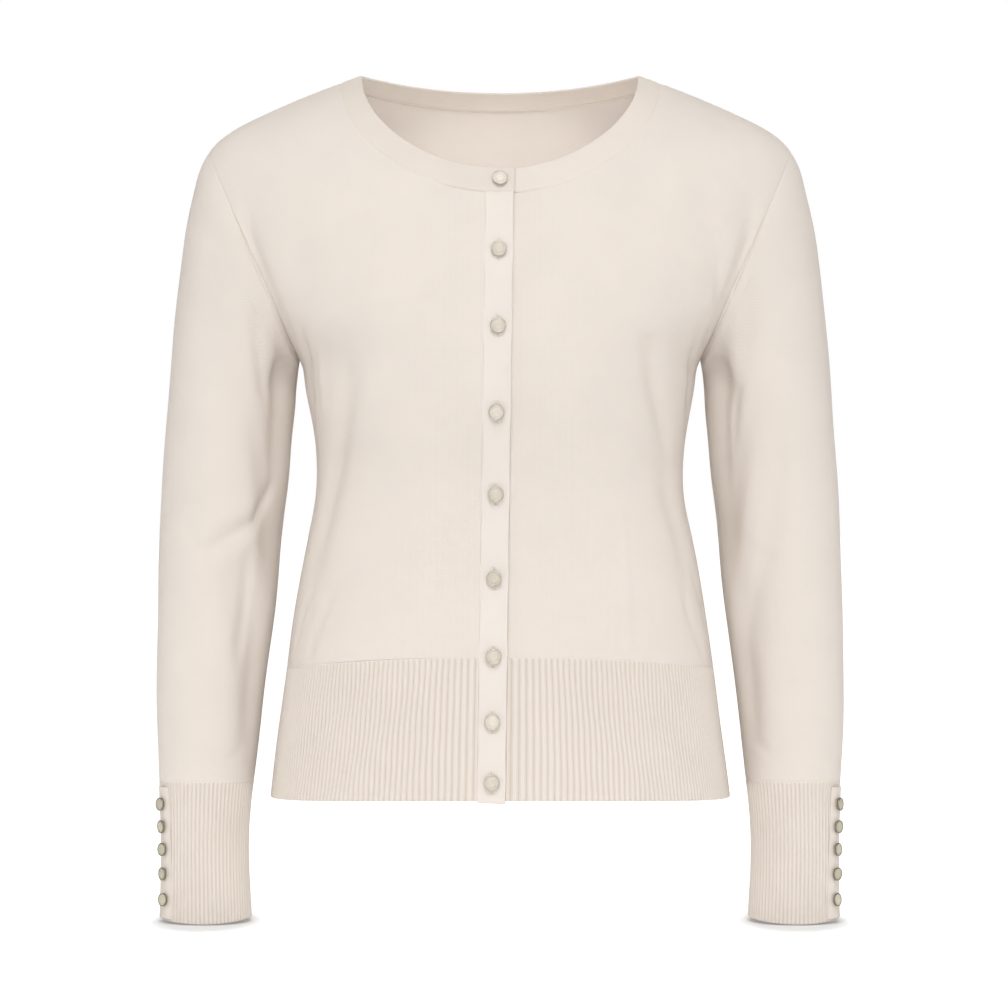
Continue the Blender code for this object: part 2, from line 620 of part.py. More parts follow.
def make_sleeves(cloth, collection):
    """Both sleeves with their cuffs and cuff plackets."""
    last = len(SLEEVE) - 1
    for side, word in ((LEFT, "left"), (RIGHT, "right")):
        sleeve, normals = sleeve_grid(0, CUFF_SEAM, SLEEVE_ROWS, side)
        front, back = (armhole_normals(UPPER_ROWS + 1, face, side) for face in (FRONT, BACK))
        normals[0] = np.concatenate([front[:0:-1], back[:-1]])
        sleeve = inset(sleeve, ("bottom", "top"))
        wall_object(f"{word}_sleeve", sleeve, normals, WALL, cloth, collection, closed=True)
        cuff, normals = sleeve_grid(CUFF_SEAM, last, CUFF_ROWS, side)
        wall_object(f"{word}_cuff", inset(cuff, ("bottom",)), normals, BAND_WALL, cloth, collection, closed=True)
        share = np.linspace(*CUFF_PLACKET_SPAN, CUFF_ROWS + 1)[:, None]
        half_turn = math.degrees(CUFF_PLACKET_WIDTH / 2 / sleeve_at["depth"](last))
        angle = cuff_placket_angle(share) + half_turn * np.linspace(-1, 1, 5)[None, :]
        strip, normals = cuff_surface(share, angle, LAP_GAP + WALL, side)
        wall_object(f"{word}_cuff_placket", strip, normals, WALL, cloth, collection)


def make_buttons(metal, collection):
    """One button on the neckband, eight down the placket and five on each cuff."""
    mesh = button_mesh("front_button", BUTTON_RADIUS, metal)
    small = button_mesh("cuff_button", CUFF_BUTTON_RADIUS, metal)
    for i, z in enumerate((NECK_BUTTON_Z, *FRONT_BUTTON_Z)):
        seat, normal = strip_on_front(placket_middle(z), z, LAP_GAP + BAND_WALL)
        button_object(f"front_button_{i + 1}", mesh, seat, normal, collection)
    for side, word in ((LEFT, "left"), (RIGHT, "right")):
        for i, share in enumerate(CUFF_BUTTON_AT):
            seat, normal = cuff_surface(share, cuff_placket_angle(share), LAP_GAP + WALL, side)
            button_object(f"{word}_cuff_button_{i + 1}", small, seat, normal, collection)


def main():
    clear_scene()
    collection = bpy.data.collections.new("button_cardigan")
    bpy.context.scene.collection.children.link(collection)
    cloth, metal = make_material(*CLOTH), make_material(*METAL)
    make_body(cloth, collection)
    make_plackets(cloth, collection)
    make_neckband(cloth, collection)
    make_sleeves(cloth, collection)
    make_buttons(metal, collection)


main()
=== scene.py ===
"""Looks of a button cardigan: fine knit, worn shape, empty inside.

Frame: metres, +Z up, -Y the garment's front, +X the wearer's left, origin between the shoulder-neck points.
Every sheet of cloth lies on the same torso and sleeve surfaces as the solid it replaces, with its ribs,
rolled edges, seams and soft folds raised from that surface.
"""

import logging
import math
from dataclasses import dataclass, field
from enum import Enum
from typing import Callable, Optional, Sequence

import bpy
import numpy as np
from mathutils import Matrix, Vector


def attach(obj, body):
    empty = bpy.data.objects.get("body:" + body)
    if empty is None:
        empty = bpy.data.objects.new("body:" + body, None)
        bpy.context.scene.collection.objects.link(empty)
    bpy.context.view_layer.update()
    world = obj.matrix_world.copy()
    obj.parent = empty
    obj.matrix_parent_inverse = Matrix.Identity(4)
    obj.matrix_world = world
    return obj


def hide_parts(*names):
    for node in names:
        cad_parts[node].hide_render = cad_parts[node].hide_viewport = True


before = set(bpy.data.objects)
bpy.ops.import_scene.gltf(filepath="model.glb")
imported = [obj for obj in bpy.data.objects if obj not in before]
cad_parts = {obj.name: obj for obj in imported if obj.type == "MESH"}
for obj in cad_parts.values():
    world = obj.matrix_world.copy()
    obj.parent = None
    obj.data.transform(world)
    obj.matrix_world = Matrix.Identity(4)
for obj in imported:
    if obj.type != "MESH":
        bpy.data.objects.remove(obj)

LOG = logging.getLogger("button_cardigan")
MM = 0.001
HEM_RIB = 3.65 * MM               # a rib and its furrow
CUFF_RIB = 3.1 * MM
BODY = "root"
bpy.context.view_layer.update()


class Face(Enum):
    """The two halves of the torso, by the sign of y."""

    FRONT = -1
    BACK = 1


class Side(Enum):
    """The wearer's sides, by the sign of x."""

    LEFT = 1
    RIGHT = -1

    @property
    def word(self) -> str:
        """The side's name, as the solids spell it."""
        return self.name.lower()


class Edge(Enum):
    """How a cut edge of a sheet is finished."""

    SEAM = "seam"
    FREE = "free"
    PLAIN = "plain"


class Slot(Enum):
    """The record's material slots."""

    PLAIN = "plain_knit"
    RIB = "rib_knit"
    PLACKET = "placket_knit"
    BUTTON = "button"


# ---------------------------------------------------------------- small tools
def to_linear(code: str) -> tuple[float, float, float, float]:
    """Turns an sRGB hex colour into linear RGBA.

    Args:
        code: Six hex digits.

    Returns:
        Linear red, green, blue and an alpha of 1.
    """
    shares = [int(code[i:i + 2], 16) / 255 for i in (0, 2, 4)]
    return tuple(c / 12.92 if c <= 0.04045 else ((c + 0.055) / 1.055) ** 2.4 for c in shares) + (1.0,)


def add_node(tree: bpy.types.NodeTree, kind: str, inputs: Optional[dict] = None, **settings) -> bpy.types.Node:
    """Adds a node with its settings and links.

    Args:
        tree: The material's node tree.
        kind: Blender's name of the node type.
        inputs: Socket name or number to a value, or to the output socket that feeds it.
        settings: Properties of the node.

    Returns:
        The new node.
    """
    node = tree.nodes.new(kind)
    for name, value in settings.items():
        setattr(node, name, value)
    for key, value in (inputs or {}).items():
        if isinstance(value, bpy.types.NodeSocket):
            tree.links.new(value, node.inputs[key])
        else:
            node.inputs[key].default_value = value
    return node


def new_material(name: str) -> tuple[bpy.types.Material, bpy.types.NodeTree, bpy.types.Node]:
    """Starts a material.

    Args:
        name: The material's name.

    Returns:
        The material, its node tree and its Principled shader.
    """
    material = bpy.data.materials.new(name)
    material.use_nodes = True
    return material, material.node_tree, material.node_tree.nodes["Principled BSDF"]


def spline(x: Sequence[float], y: Sequence[float]) -> Callable[[np.ndarray], np.ndarray]:
    """Fits a natural cubic.

    Args:
        x: Knots, rising or falling.
        y: Values at the knots.

    Returns:
        The curve as a function of x.
    """
    order = np.argsort(x)
    x, y = np.asarray(x, float)[order], np.asarray(y, float)[order]
    step, slope = np.diff(x), np.diff(y) / np.diff(x)
    matrix, right = np.eye(len(x)), np.zeros(len(x))
    for i in range(1, len(x) - 1):
        matrix[i, i - 1:i + 2] = step[i - 1], 2 * (step[i - 1] + step[i]), step[i]
        right[i] = 6 * (slope[i] - slope[i - 1])
    bend = np.linalg.solve(matrix, right)

    def value(at: np.ndarray) -> np.ndarray:
        """The curve's height at a place.

        Args:
            at: Places on the x axis.

        Returns:
            Heights there.
        """
        at = np.asarray(at, float)
        i = np.clip(np.searchsorted(x, at) - 1, 0, len(x) - 2)
        a, b, h = x[i + 1] - at, at - x[i], step[i]
        return (
            (bend[i] * a**3 + bend[i + 1] * b**3) / (6 * h)
            + (y[i] / h - bend[i] * h / 6) * a
            + (y[i + 1] / h - bend[i + 1] * h / 6) * b
        )

    return value


def smoothstep(share: np.ndarray) -> np.ndarray:
    """Eases from 0 to 1."""
    share = np.clip(share, 0, 1)
    return share * share * (3 - 2 * share)


def unit(vectors: np.ndarray) -> np.ndarray:
    """Scales vectors to length 1."""
    return vectors / np.maximum(np.linalg.norm(vectors, axis=-1, keepdims=True), 1e-12)


def graded(length: float, cell: float, first: float = 0.15 * MM, growth: float = 1.7) -> np.ndarray:
    """Places grid lines that crowd towards both ends, where edges are rolled.

    Args:
        length: Length to cover.
        cell: Largest spacing.
        first: Spacing at the ends.
        growth: How fast the spacing grows from the ends.

    Returns:
        Shares of the length, from 0 to 1.
    """
    ends = [0.0]
    while first < cell:
        ends.append(ends[-1] + first)
        first *= growth
    ends = np.array(ends)
    inner = length - 2 * ends[-1]
    middle = ends[-1] + np.linspace(0, inner, max(2, round(inner / cell)) + 1)[1:-1]
    return np.concatenate([ends, middle, length - ends[::-1]]) / length


def along(points: np.ndarray, axis: int) -> np.ndarray:
    """Length of a grid's lines from their first point, along rows (1) or columns (0)."""
    steps = np.linalg.norm(np.diff(points, axis=axis), axis=-1)
    start = np.zeros_like(np.take(steps, [0], axis=axis))
    return np.concatenate([start, np.cumsum(steps, axis=axis)], axis=axis)


# ---------------------------------------------------------------- the body's surfaces
@dataclass(frozen=True)
class Level:
    """A section of the torso: x^power + y^ridge_power = 1, in shares of its half width and depth."""

    z: float
    half_width: float
    front_depth: float
    back_depth: float
    power: float
    ridge_power: float


@dataclass(frozen=True)
class Neckline:
    """A line round the neck: where it meets the shoulder ridge, and its drop at centre front and back."""

    ridge_x: float
    front_z: float
    back_z: float

    def toward(self, other: "Neckline", share: float) -> "Neckline":
        """The line a share of the way to another."""
        mix = [a + share * (b - a) for a, b in zip(self.__dict__.values(), other.__dict__.values())]
        return Neckline(*mix)


@dataclass(frozen=True)
class Crease:
    """A soft trough or ridge along a path.

    Attributes:
        path: Its points, in the sheet's own two coordinates.
        width: Half its width, in metres.
        depth: How far it sinks, in metres; a ridge is negative.
    """

    path: tuple[tuple[float, float], ...]
    width: float
    depth: float

    def height(self, u: np.ndarray, v: np.ndarray) -> np.ndarray:
        """Height that the crease adds.

        Args:
            u: First coordinate, in metres.
            v: Second coordinate, in metres.

        Returns:
            Height off the sheet, in metres.
        """
        path = np.array(self.path)
        lengths = np.linalg.norm(np.diff(path, axis=0), axis=1)
        total, walked = lengths.sum(), 0.0
        best, place = np.full(u.shape, np.inf), np.zeros(u.shape)
        for a, b, length in zip(path[:-1], path[1:], lengths):
            way = (b - a) / length
            t = np.clip((u - a[0]) * way[0] + (v - a[1]) * way[1], 0, length)
            away = np.hypot(u - a[0] - t * way[0], v - a[1] - t * way[1])
            nearer = away < best
            best, place = np.where(nearer, away, best), np.where(nearer, walked + t, place)
            walked += length
        ends = np.sqrt(np.clip(np.sin(np.pi * np.clip(place / total, 0, 1)), 0, 1))
        return -self.depth * np.exp(-((best / self.width) ** 2)) * (0.25 + 0.75 * ends)


@dataclass(frozen=True)
class Torso:
    """The torso surface, its seams and its neckline."""

    levels: tuple[Level, ...] = (
        Level(0.0000, 0.1076, 0.0250, 0.0570, 2.00, 1.10),
        Level(-0.0155, 0.1490, 0.0380, 0.0705, 2.00, 1.42),
        Level(-0.0300, 0.1830, 0.0485, 0.0775, 2.00, 1.72),
        Level(-0.0410, 0.2050, 0.0560, 0.0810, 2.00, 1.88),
        Level(-0.0510, 0.2190, 0.0630, 0.0835, 2.00, 1.96),
        Level(-0.0600, 0.2268, 0.0690, 0.0855, 2.00, 2.00),
        Level(-0.0750, 0.2335, 0.0780, 0.0890, 2.03, 2.03),
        Level(-0.0900, 0.2352, 0.0850, 0.0920, 2.05, 2.05),
        Level(-0.1050, 0.2338, 0.0908, 0.0942, 2.05, 2.05),
        Level(-0.1250, 0.2280, 0.0968, 0.0965, 2.05, 2.05),
        Level(-0.1450, 0.2184, 0.1014, 0.0978, 2.05, 2.05),
        Level(-0.1650, 0.2055, 0.1055, 0.0980, 2.07, 2.07),
        Level(-0.1850, 0.1895, 0.1092, 0.0971, 2.10, 2.10),
        Level(-0.2050, 0.1705, 0.1120, 0.0953, 2.13, 2.13),
        Level(-0.2220, 0.1560, 0.1133, 0.0931, 2.17, 2.17),
        Level(-0.2400, 0.1518, 0.1133, 0.0902, 2.20, 2.20),
        Level(-0.2600, 0.1482, 0.1113, 0.0866, 2.25, 2.25),
        Level(-0.2850, 0.1437, 0.1065, 0.0822, 2.30, 2.30),
        Level(-0.3070, 0.1422, 0.1018, 0.0793, 2.33, 2.33),
        Level(-0.3280, 0.1432, 0.0985, 0.0790, 2.35, 2.35),
        Level(-0.3560, 0.1488, 0.0968, 0.0815, 2.35, 2.35),
        Level(-0.3850, 0.1548, 0.0969, 0.0868, 2.35, 2.35),
        Level(-0.4200, 0.1606, 0.0984, 0.0942, 2.35, 2.35),
        Level(-0.4600, 0.1657, 0.1006, 0.1020, 2.35, 2.35),
        Level(-0.5100, 0.1724, 0.1034, 0.1092, 2.35, 2.35),
        Level(-0.5610, 0.1790, 0.1060, 0.1142, 2.35, 2.35),
        Level(-0.5900, 0.1825, 0.1075, 0.1165, 2.35, 2.35),
    )
    shoulder: tuple[float, float] = (0.2268, -0.0600)
    underarm: tuple[float, float] = (0.1560, -0.2220)
    hem_z: float = -0.5610
    hem_rise: float = 0.0045
    rib_z: float = -0.4594
    rib_rise: float = 0.0100
    neck_edge: Neckline = Neckline(0.1076, -0.0805, -0.0056)
    neck_seam: Neckline = Neckline(0.1241, -0.0996, -0.0180)
    neck_share: float = 7 / 12          # share of a panel's top edge that is neckline
    placket_width: float = 0.0210
    placket_lean: float = 0.0065
    placket_top_z: float = -0.1000
    lap_height: float = 0.0021
    lap_ramp: float = 0.0320

    def __post_init__(self) -> None:
        """Fits a curve through each column of the levels."""
        z = [level.z for level in self.levels]
        for name in Level.__dataclass_fields__:
            if name != "z":
                fitted = spline(z, [getattr(level, name) for level in self.levels])
                object.__setattr__(self, f"{name}_at", fitted)

    def depth(self, z: np.ndarray, face: Face) -> np.ndarray:
        """How far the surface reaches forwards or backwards at a height."""
        return self.front_depth_at(z) if face is Face.FRONT else self.back_depth_at(z)

    def point(self, angle: np.ndarray, z: np.ndarray, face: Face, side: float = 1) -> np.ndarray:
        """Points of the surface.

        Args:
            angle: 0 on the side seam or shoulder, a quarter turn at the centre.
            z: Height.
            face: Front or back.
            side: Sign of x.

        Returns:
            The points.
        """
        x = side * self.half_width_at(z) * np.clip(np.cos(angle), 0, 1) ** (2 / self.power_at(z))
        reach = np.clip(np.sin(angle), 0, 1) ** (2 / self.ridge_power_at(z))
        return np.stack([x, face.value * self.depth(z, face) * reach, z + 0 * x], axis=-1)

    def angle(self, x: np.ndarray, z: np.ndarray) -> np.ndarray:
        """The angle at which the surface is x from the middle."""
        share = np.clip(np.abs(x) / self.half_width_at(z), 0, 1)
        return np.arccos(share ** (self.power_at(z) / 2))

    def normal(self, points: np.ndarray, face: Face) -> np.ndarray:
        """Outward normals of the surface, from the slope of its equation.

        Args:
            points: Points that lie on it.
            face: Front or back.

        Returns:
            Unit vectors.
        """
        x, y, z = np.abs(points[..., 0]), np.abs(points[..., 1]), points[..., 2]
        small = 1e-5
        reach = [
            (x / self.half_width_at(at)) ** self.power_at(at)
            + (y / self.depth(at, face)) ** self.ridge_power_at(at)
            for at in (z - small, z + small)
        ]
        wide, deep = self.half_width_at(z), self.depth(z, face)
        power, ridge_power = self.power_at(z), self.ridge_power_at(z)
        return unit(np.stack(
            [
                np.sign(points[..., 0]) * power * (x / wide) ** (power - 1) / wide,
                face.value * ridge_power * (y / deep) ** (ridge_power - 1) / deep,
                (reach[1] - reach[0]) / (2 * small),
            ],
            axis=-1,
        ))

    def front_point(self, x: np.ndarray, z: np.ndarray) -> tuple[np.ndarray, np.ndarray]:
        """Points and normals of the front at x and z, where x may have either sign."""
        x, z = np.broadcast_arrays(np.asarray(x, float), np.asarray(z, float))
        points = self.point(self.angle(x, z), z, Face.FRONT)
        points[..., 0] = x
        return points, self.normal(points, Face.FRONT)

    def ridge_z(self, x: float) -> float:
        """Height of the shoulder ridge at x."""
        heights = np.linspace(self.shoulder[1], 0, 200)
        return float(np.interp(x, self.half_width_at(heights)[::-1], heights[::-1]))

    def armhole(self, turn: np.ndarray) -> tuple[np.ndarray, np.ndarray]:
        """Angle and height up the armhole; turn runs from 0 at the underarm to pi at the shoulder."""
        share = (1 - np.cos(turn)) / 2
        z = self.underarm[1] + share * (self.shoulder[1] - self.underarm[1])
        x = self.underarm[0] + share * (self.shoulder[0] - self.underarm[0])
        angle = self.angle(x, z)
        return np.where((share <= 0) | (share >= 1), 0, angle), z

    def placket_middle(self, z: np.ndarray) -> np.ndarray:
        """x of the placket's middle line, which leans to the wearer's right."""
        share = (self.placket_top_z - z) / (self.placket_top_z - self.hem_z)
        return -self.placket_lean * np.clip(share, 0, 1.05)

    def neck_z(self, line: Neckline, face: Face, x: np.ndarray) -> np.ndarray:
        """Height of a neckline at x."""
        power, rounding = (1.85, 0.54) if face is Face.FRONT else (2.0, 1.15)
        drop = line.front_z if face is Face.FRONT else line.back_z
        top = self.ridge_z(line.ridge_x)
        return top + (drop - top) * np.clip(1 - (np.abs(x) / line.ridge_x) ** power, 0, 1) ** rounding

    def neckline(self, line: Neckline, face: Face, first_x: float, shares: np.ndarray) -> np.ndarray:
        """Angle and height along a neckline.

        Args:
            line: The neckline.
            face: Front or back.
            first_x: Where it starts.
            shares: Shares of its length from there to the shoulder ridge.

        Returns:
            A pair for each share.
        """
        x = first_x + np.sin(np.linspace(0, math.pi / 2, 600)) * (line.ridge_x - first_x)
        z = self.neck_z(line, face, x)
        angle = self.angle(x, z)
        angle[-1] = 0
        length = along(self.point(angle, z, face)[None], 1)[0]
        at = shares * length[-1]
        return np.stack([np.interp(at, length, angle), np.interp(at, length, z)], axis=-1)

    def lap(self, x: np.ndarray, z: np.ndarray) -> np.ndarray:
        """How far the right front stands off the surface, where it climbs onto the lap."""
        beyond = (self.placket_middle(z) - self.placket_width / 2) - x
        return self.lap_height * (1 - smoothstep(beyond / self.lap_ramp))

    def girth(self, angle: np.ndarray, z: np.ndarray, face: Face) -> np.ndarray:
        """Length along the level section, from the centre line to an angle."""
        total, before = 0.0, None
        for share in np.linspace(0, 1, 17):
            here = self.point(math.pi / 2 + share * (angle - math.pi / 2), z, face)
            total = total if before is None else total + np.linalg.norm(here - before, axis=-1)
            before = here
        return total

    def rise(self, x: np.ndarray, z: np.ndarray, face: Face) -> np.ndarray:
        """Length along the upright section through x, from chest height up to z."""
        chest_z, total, before = -0.105, 0.0, None
        for share in np.linspace(0, 1, 17):
            at = chest_z + share * (z - chest_z)
            here = self.point(self.angle(x, at), at, face)
            total = total if before is None else total + np.linalg.norm(here - before, axis=-1)
            before = here
        return total * np.sign(z - chest_z)


@dataclass(frozen=True)
class Ring:
    """A section of the sleeve, in the plane through its outer and inner points."""

    outer_x: float
    outer_z: float
    inner_x: float
    inner_z: float
    depth: float
    axis_y: float


@dataclass(frozen=True)
class BroadFold:
    """A fold that the sleeve's solid has too: place in rows and degrees, reach, slant and depth."""

    row: float
    angle: float
    row_reach: float
    angle_reach: float
    slant: float
    depth: float


@dataclass(frozen=True)
class SleeveTube:
    """The sleeve's surface, from the armhole to the end of the cuff."""

    torso: Torso
    rings: tuple[Ring, ...] = (
        Ring(0.2268, -0.0600, 0.1560, -0.2220, 0.0510, 0.001),
        Ring(0.2338, -0.0740, 0.1566, -0.2255, 0.0512, 0.002),
        Ring(0.2390, -0.0940, 0.1571, -0.2298, 0.0514, 0.002),
        Ring(0.2446, -0.1200, 0.1577, -0.2352, 0.0516, 0.003),
        Ring(0.2492, -0.1530, 0.1584, -0.2425, 0.0516, 0.004),
        Ring(0.2536, -0.1880, 0.1592, -0.2520, 0.0512, 0.005),
        Ring(0.2572, -0.2250, 0.1606, -0.2660, 0.0504, 0.006),
        Ring(0.2602, -0.2660, 0.1630, -0.2890, 0.0490, 0.007),
        Ring(0.2635, -0.3120, 0.1653, -0.3230, 0.0468, 0.008),
        Ring(0.2661, -0.3620, 0.1694, -0.3660, 0.0446, 0.008),
        Ring(0.2673, -0.4110, 0.1748, -0.4120, 0.0424, 0.006),
        Ring(0.2678, -0.4600, 0.1818, -0.4600, 0.0400, 0.003),
        Ring(0.2672, -0.5050, 0.1868, -0.5050, 0.0378, -0.001),
        Ring(0.2653, -0.5480, 0.1915, -0.5480, 0.0352, -0.004),
        Ring(0.2640, -0.5823, 0.1944, -0.5823, 0.0325, -0.006),
        Ring(0.2636, -0.6167, 0.1951, -0.6167, 0.0317, -0.007),
        Ring(0.2642, -0.6545, 0.1930, -0.6545, 0.0330, -0.008),
    )
    folds: tuple[BroadFold, ...] = (
        BroadFold(4.2, 148, 1.6, 15, -9, 0.0045),
        BroadFold(7.6, 128, 1.3, 13, 12, 0.0030),
        BroadFold(8.9, 166, 0.8, 26, -10, 0.0042),
        BroadFold(9.8, 108, 0.9, 14, 16, 0.0024),
        BroadFold(8.9, 262, 1.1, 18, 8, 0.0030),
        BroadFold(5.6, 214, 1.4, 16, 9, 0.0035),
    )
    cuff_row: int = 13
    ring_power: float = 2.15
    armhole_fade: float = 6.0
    valley_depth: float = 2.6 * MM
    mitre_reach: float = 12 * MM
    cuff_tilt: float = 0.0025

    def __post_init__(self) -> None:
        """Fits a curve through each column of the rings."""
        for name in Ring.__dataclass_fields__:
            fitted = spline(range(len(self.rings)), [getattr(ring, name) for ring in self.rings])
            object.__setattr__(self, f"{name}_at", fitted)

    @property
    def last_row(self) -> int:
        """The row of the cuff's end."""
        return len(self.rings) - 1

    def armhole_depth(self, share: np.ndarray, face: Face) -> np.ndarray:
        """Reach of the armhole's outline from y 0, at a share of the way up it."""
        angle, z = self.torso.armhole(np.arccos(1 - 2 * np.clip(share, 0, 1)))
        reach = np.abs(self.torso.point(angle, z, face)[..., 1])
        return np.where((share <= 0) | (share >= 1), 0, reach)

    def base(self, row: np.ndarray, angle: np.ndarray) -> np.ndarray:
        """Points of the left sleeve.

        Args:
            row: Place down the sleeve, in rings.
            angle: Degrees round it, 0 at the outer point, 90 in front and 180 inside.

        Returns:
            The points.
        """
        outer_x, outer_z = self.outer_x_at(row), self.outer_z_at(row)
        inner_x, inner_z = self.inner_x_at(row), self.inner_z_at(row)
        depth, turn = self.depth_at(row), np.radians(angle)
        cosine, share = np.cos(turn), (1 + np.cos(turn)) / 2
        front = np.sin(turn) >= 0
        oval = depth * np.clip(1 - np.abs(cosine) ** self.ring_power, 0, 1) ** (1 / self.ring_power)
        start = np.where(
            front, self.armhole_depth(share, Face.FRONT), self.armhole_depth(share, Face.BACK)
        )
        fade = smoothstep(row / self.armhole_fade)
        fold = 0.0
        for f in self.folds:
            off_row = (row - f.row) / f.row_reach
            around = np.mod(angle, 360)
            off_angle = (around - f.angle - f.slant * (row - f.row)) / f.angle_reach
            fold = fold + f.depth * np.exp(-(off_row**2) - off_angle**2)
        middle_x, middle_z = (outer_x + inner_x) / 2, (outer_z + inner_z) / 2
        half = np.hypot(outer_x - inner_x, outer_z - inner_z) / 2
        squeeze = 1 - fold / (0.5 * (half + depth))
        cuff_share = np.clip((row - self.cuff_row) / (self.last_row - self.cuff_row), 0, 1)
        sag = self.cuff_tilt * cuff_share**2 * np.clip(np.sin(turn), 0, 1) ** 2
        y = fade * self.axis_y_at(row)
        y = y + np.where(front, -1, 1) * (start * (1 - fade) + oval * fade) * squeeze
        x = middle_x + (outer_x - middle_x) * cosine * squeeze
        z = middle_z + (outer_z - middle_z) * cosine * squeeze - sag
        return np.stack([x + 0 * y, y, z + 0 * y], axis=-1)

    def mitre(self, turn: np.ndarray, face: Face, side: Side) -> np.ndarray:
        """Normals up the armhole, half way between the torso's and the sleeve's.

        Args:
            turn: 0 at the underarm, half a turn at the shoulder.
            face: Front or back.
            side: The wearer's side.

        Returns:
            Unit vectors.
        """
        angle, z = self.torso.armhole(turn)
        torso = self.torso.normal(self.torso.point(angle, z, face, side.value), face)
        _, sleeve = self.surface(0.0, face.value * (np.degrees(turn) - 180), side)
        return unit(torso + sleeve)

    def valley(self, turn: np.ndarray, face: Face) -> np.ndarray:
        """Depth of the hollow along the armhole seam, deepest above the underarm."""
        middle, reach = (0.34, 0.20) if face is Face.FRONT else (0.40, 0.24)
        return self.valley_depth * np.exp(-(((turn - middle * math.pi) / (reach * math.pi)) ** 2))

    def surface(self, row: np.ndarray, angle: np.ndarray, side: Side) -> tuple[np.ndarray, np.ndarray]:
        """Points and outward normals of one sleeve."""
        row, angle = np.broadcast_arrays(np.asarray(row, float), np.asarray(angle, float))
        down = self.base(row + 0.02, angle) - self.base(row - 0.02, angle)
        round_it = self.base(row, angle + 1) - self.base(row, angle - 1)
        flip = np.array([side.value, 1, 1])
        return self.base(row, angle) * flip, unit(np.cross(round_it, down)) * flip


# ---------------------------------------------------------------- finishes
@dataclass(frozen=True)
class Knit:
    """Combed cotton and viscose yarn, knitted on a fine-gauge machine.

    The eye gets rows of small soft V stitches, a matt face and a faint bloom of fibres towards the outline.
    Its colour holds painted shade: a deeper cream between the stitches' legs and, in a rib, in its furrows.
    """

    name: str
    yarn: str = "DED6CE"
    # painted shade: the deeper cream that the colour takes between the stitches' legs
    hollow: str = "D0C6BD"
    wale: float = 1.8 * MM          # two legs of one stitch; the true gauge of about 1.2 mm would not show
    course: float = 1.5 * MM        # height of one stitch, coarsened with the wale
    slant: float = 0.85             # how far the legs of the V climb, in courses
    relief: float = 0.22 * MM
    strength: float = 0.55
    fibre: float = 0.35 * MM        # length of the loose fibres' clumps
    rib: float = 0.0                # width of a rib and its furrow; 0 for plain knit
    # painted shade: colour of the furrows between the ribs
    furrow: str = "C4B8AB"

    def make(self) -> bpy.types.Material:
        """Builds the material.

        Returns:
            The knit's material, patterned by the sheet's own map in metres.
        """
        material, tree, shader = new_material(self.name)
        place = add_node(tree, "ShaderNodeUVMap", uv_map="knit")
        split = add_node(tree, "ShaderNodeSeparateXYZ", {0: place.outputs[0]})
        across = split.outputs[0]
        for operation, value in (
            ("MULTIPLY", 1 / self.wale), ("FRACT", 0.0), ("SUBTRACT", 0.5), ("ABSOLUTE", 0.0),
            ("MULTIPLY", 2.0),
        ):
            across = add_node(tree, "ShaderNodeMath", {0: across, 1: value}, operation=operation).outputs[0]
        leg = across
        for operation, value in (("MULTIPLY", math.pi), ("SINE", 0.0), ("POWER", 0.8)):
            leg = add_node(tree, "ShaderNodeMath", {0: leg, 1: value}, operation=operation).outputs[0]
        climb = add_node(tree, "ShaderNodeMath", {0: across, 1: -self.slant}, operation="MULTIPLY")
        phase = add_node(
            tree, "ShaderNodeMath", {0: split.outputs[1], 1: 1 / self.course, 2: climb.outputs[0]},
            operation="MULTIPLY_ADD",
        ).outputs[0]
        for operation, value, extra in (
            ("MULTIPLY", 2 * math.pi, 0), ("COSINE", 0, 0), ("MULTIPLY_ADD", 0.3, 0.7),
        ):
            phase = add_node(
                tree, "ShaderNodeMath", {0: phase, 1: value, 2: extra}, operation=operation
            ).outputs[0]
        stitch = add_node(tree, "ShaderNodeMath", {0: leg, 1: phase}, operation="MULTIPLY").outputs[0]
        space = add_node(tree, "ShaderNodeTexCoord").outputs["Object"]
        fuzz = add_node(
            tree, "ShaderNodeTexNoise", {"Vector": space, "Scale": 1 / self.fibre, "Detail": 2.0}
        ).outputs[0]
        patch = add_node(tree, "ShaderNodeTexNoise", {"Vector": space, "Scale": 26.0, "Detail": 3.0}).outputs[0]
        # painted shade: the colour falls from the yarn's cream to the deeper cream between the stitches' legs
        colour = add_node(
            tree, "ShaderNodeMix",
            {0: stitch, 6: to_linear(self.hollow), 7: to_linear(self.yarn)}, data_type="RGBA",
        ).outputs[2]
        # painted shade: the colour deepens in each rib's furrow
        if self.rib:
            ridge = split.outputs[0]
            for operation, value, extra in (
                ("MULTIPLY_ADD", math.pi / self.rib, -math.pi / 4), ("COSINE", 0, 0), ("ABSOLUTE", 0, 0),
                ("POWER", 0.7, 0),
            ):
                ridge = add_node(
                    tree, "ShaderNodeMath", {0: ridge, 1: value, 2: extra}, operation=operation
                ).outputs[0]
            colour = add_node(
                tree, "ShaderNodeMix", {0: ridge, 6: to_linear(self.furrow), 7: colour}, data_type="RGBA",
            ).outputs[2]
        drift = add_node(
            tree, "ShaderNodeMapRange", {0: patch, 1: 0.3, 2: 0.7, 3: 0.985, 4: 1.015}
        ).outputs[0]
        colour = add_node(
            tree, "ShaderNodeVectorMath", {0: colour, "Scale": drift}, operation="SCALE"
        ).outputs[0]
        height = add_node(
            tree, "ShaderNodeMath", {0: fuzz, 1: 0.35, 2: stitch}, operation="MULTIPLY_ADD"
        ).outputs[0]
        bump = add_node(
            tree, "ShaderNodeBump", {"Height": height, "Distance": self.relief, "Strength": self.strength}
        ).outputs[0]
        tree.links.new(colour, shader.inputs["Base Color"])
        tree.links.new(bump, shader.inputs["Normal"])
        shader.inputs["Roughness"].default_value = 0.9
        shader.inputs["Specular IOR Level"].default_value = 0.25
        shader.inputs["Sheen Weight"].default_value = 0.12
        shader.inputs["Sheen Roughness"].default_value = 0.45
        shader.inputs["Sheen Tint"].default_value = to_linear("FFF6EA")
        return material


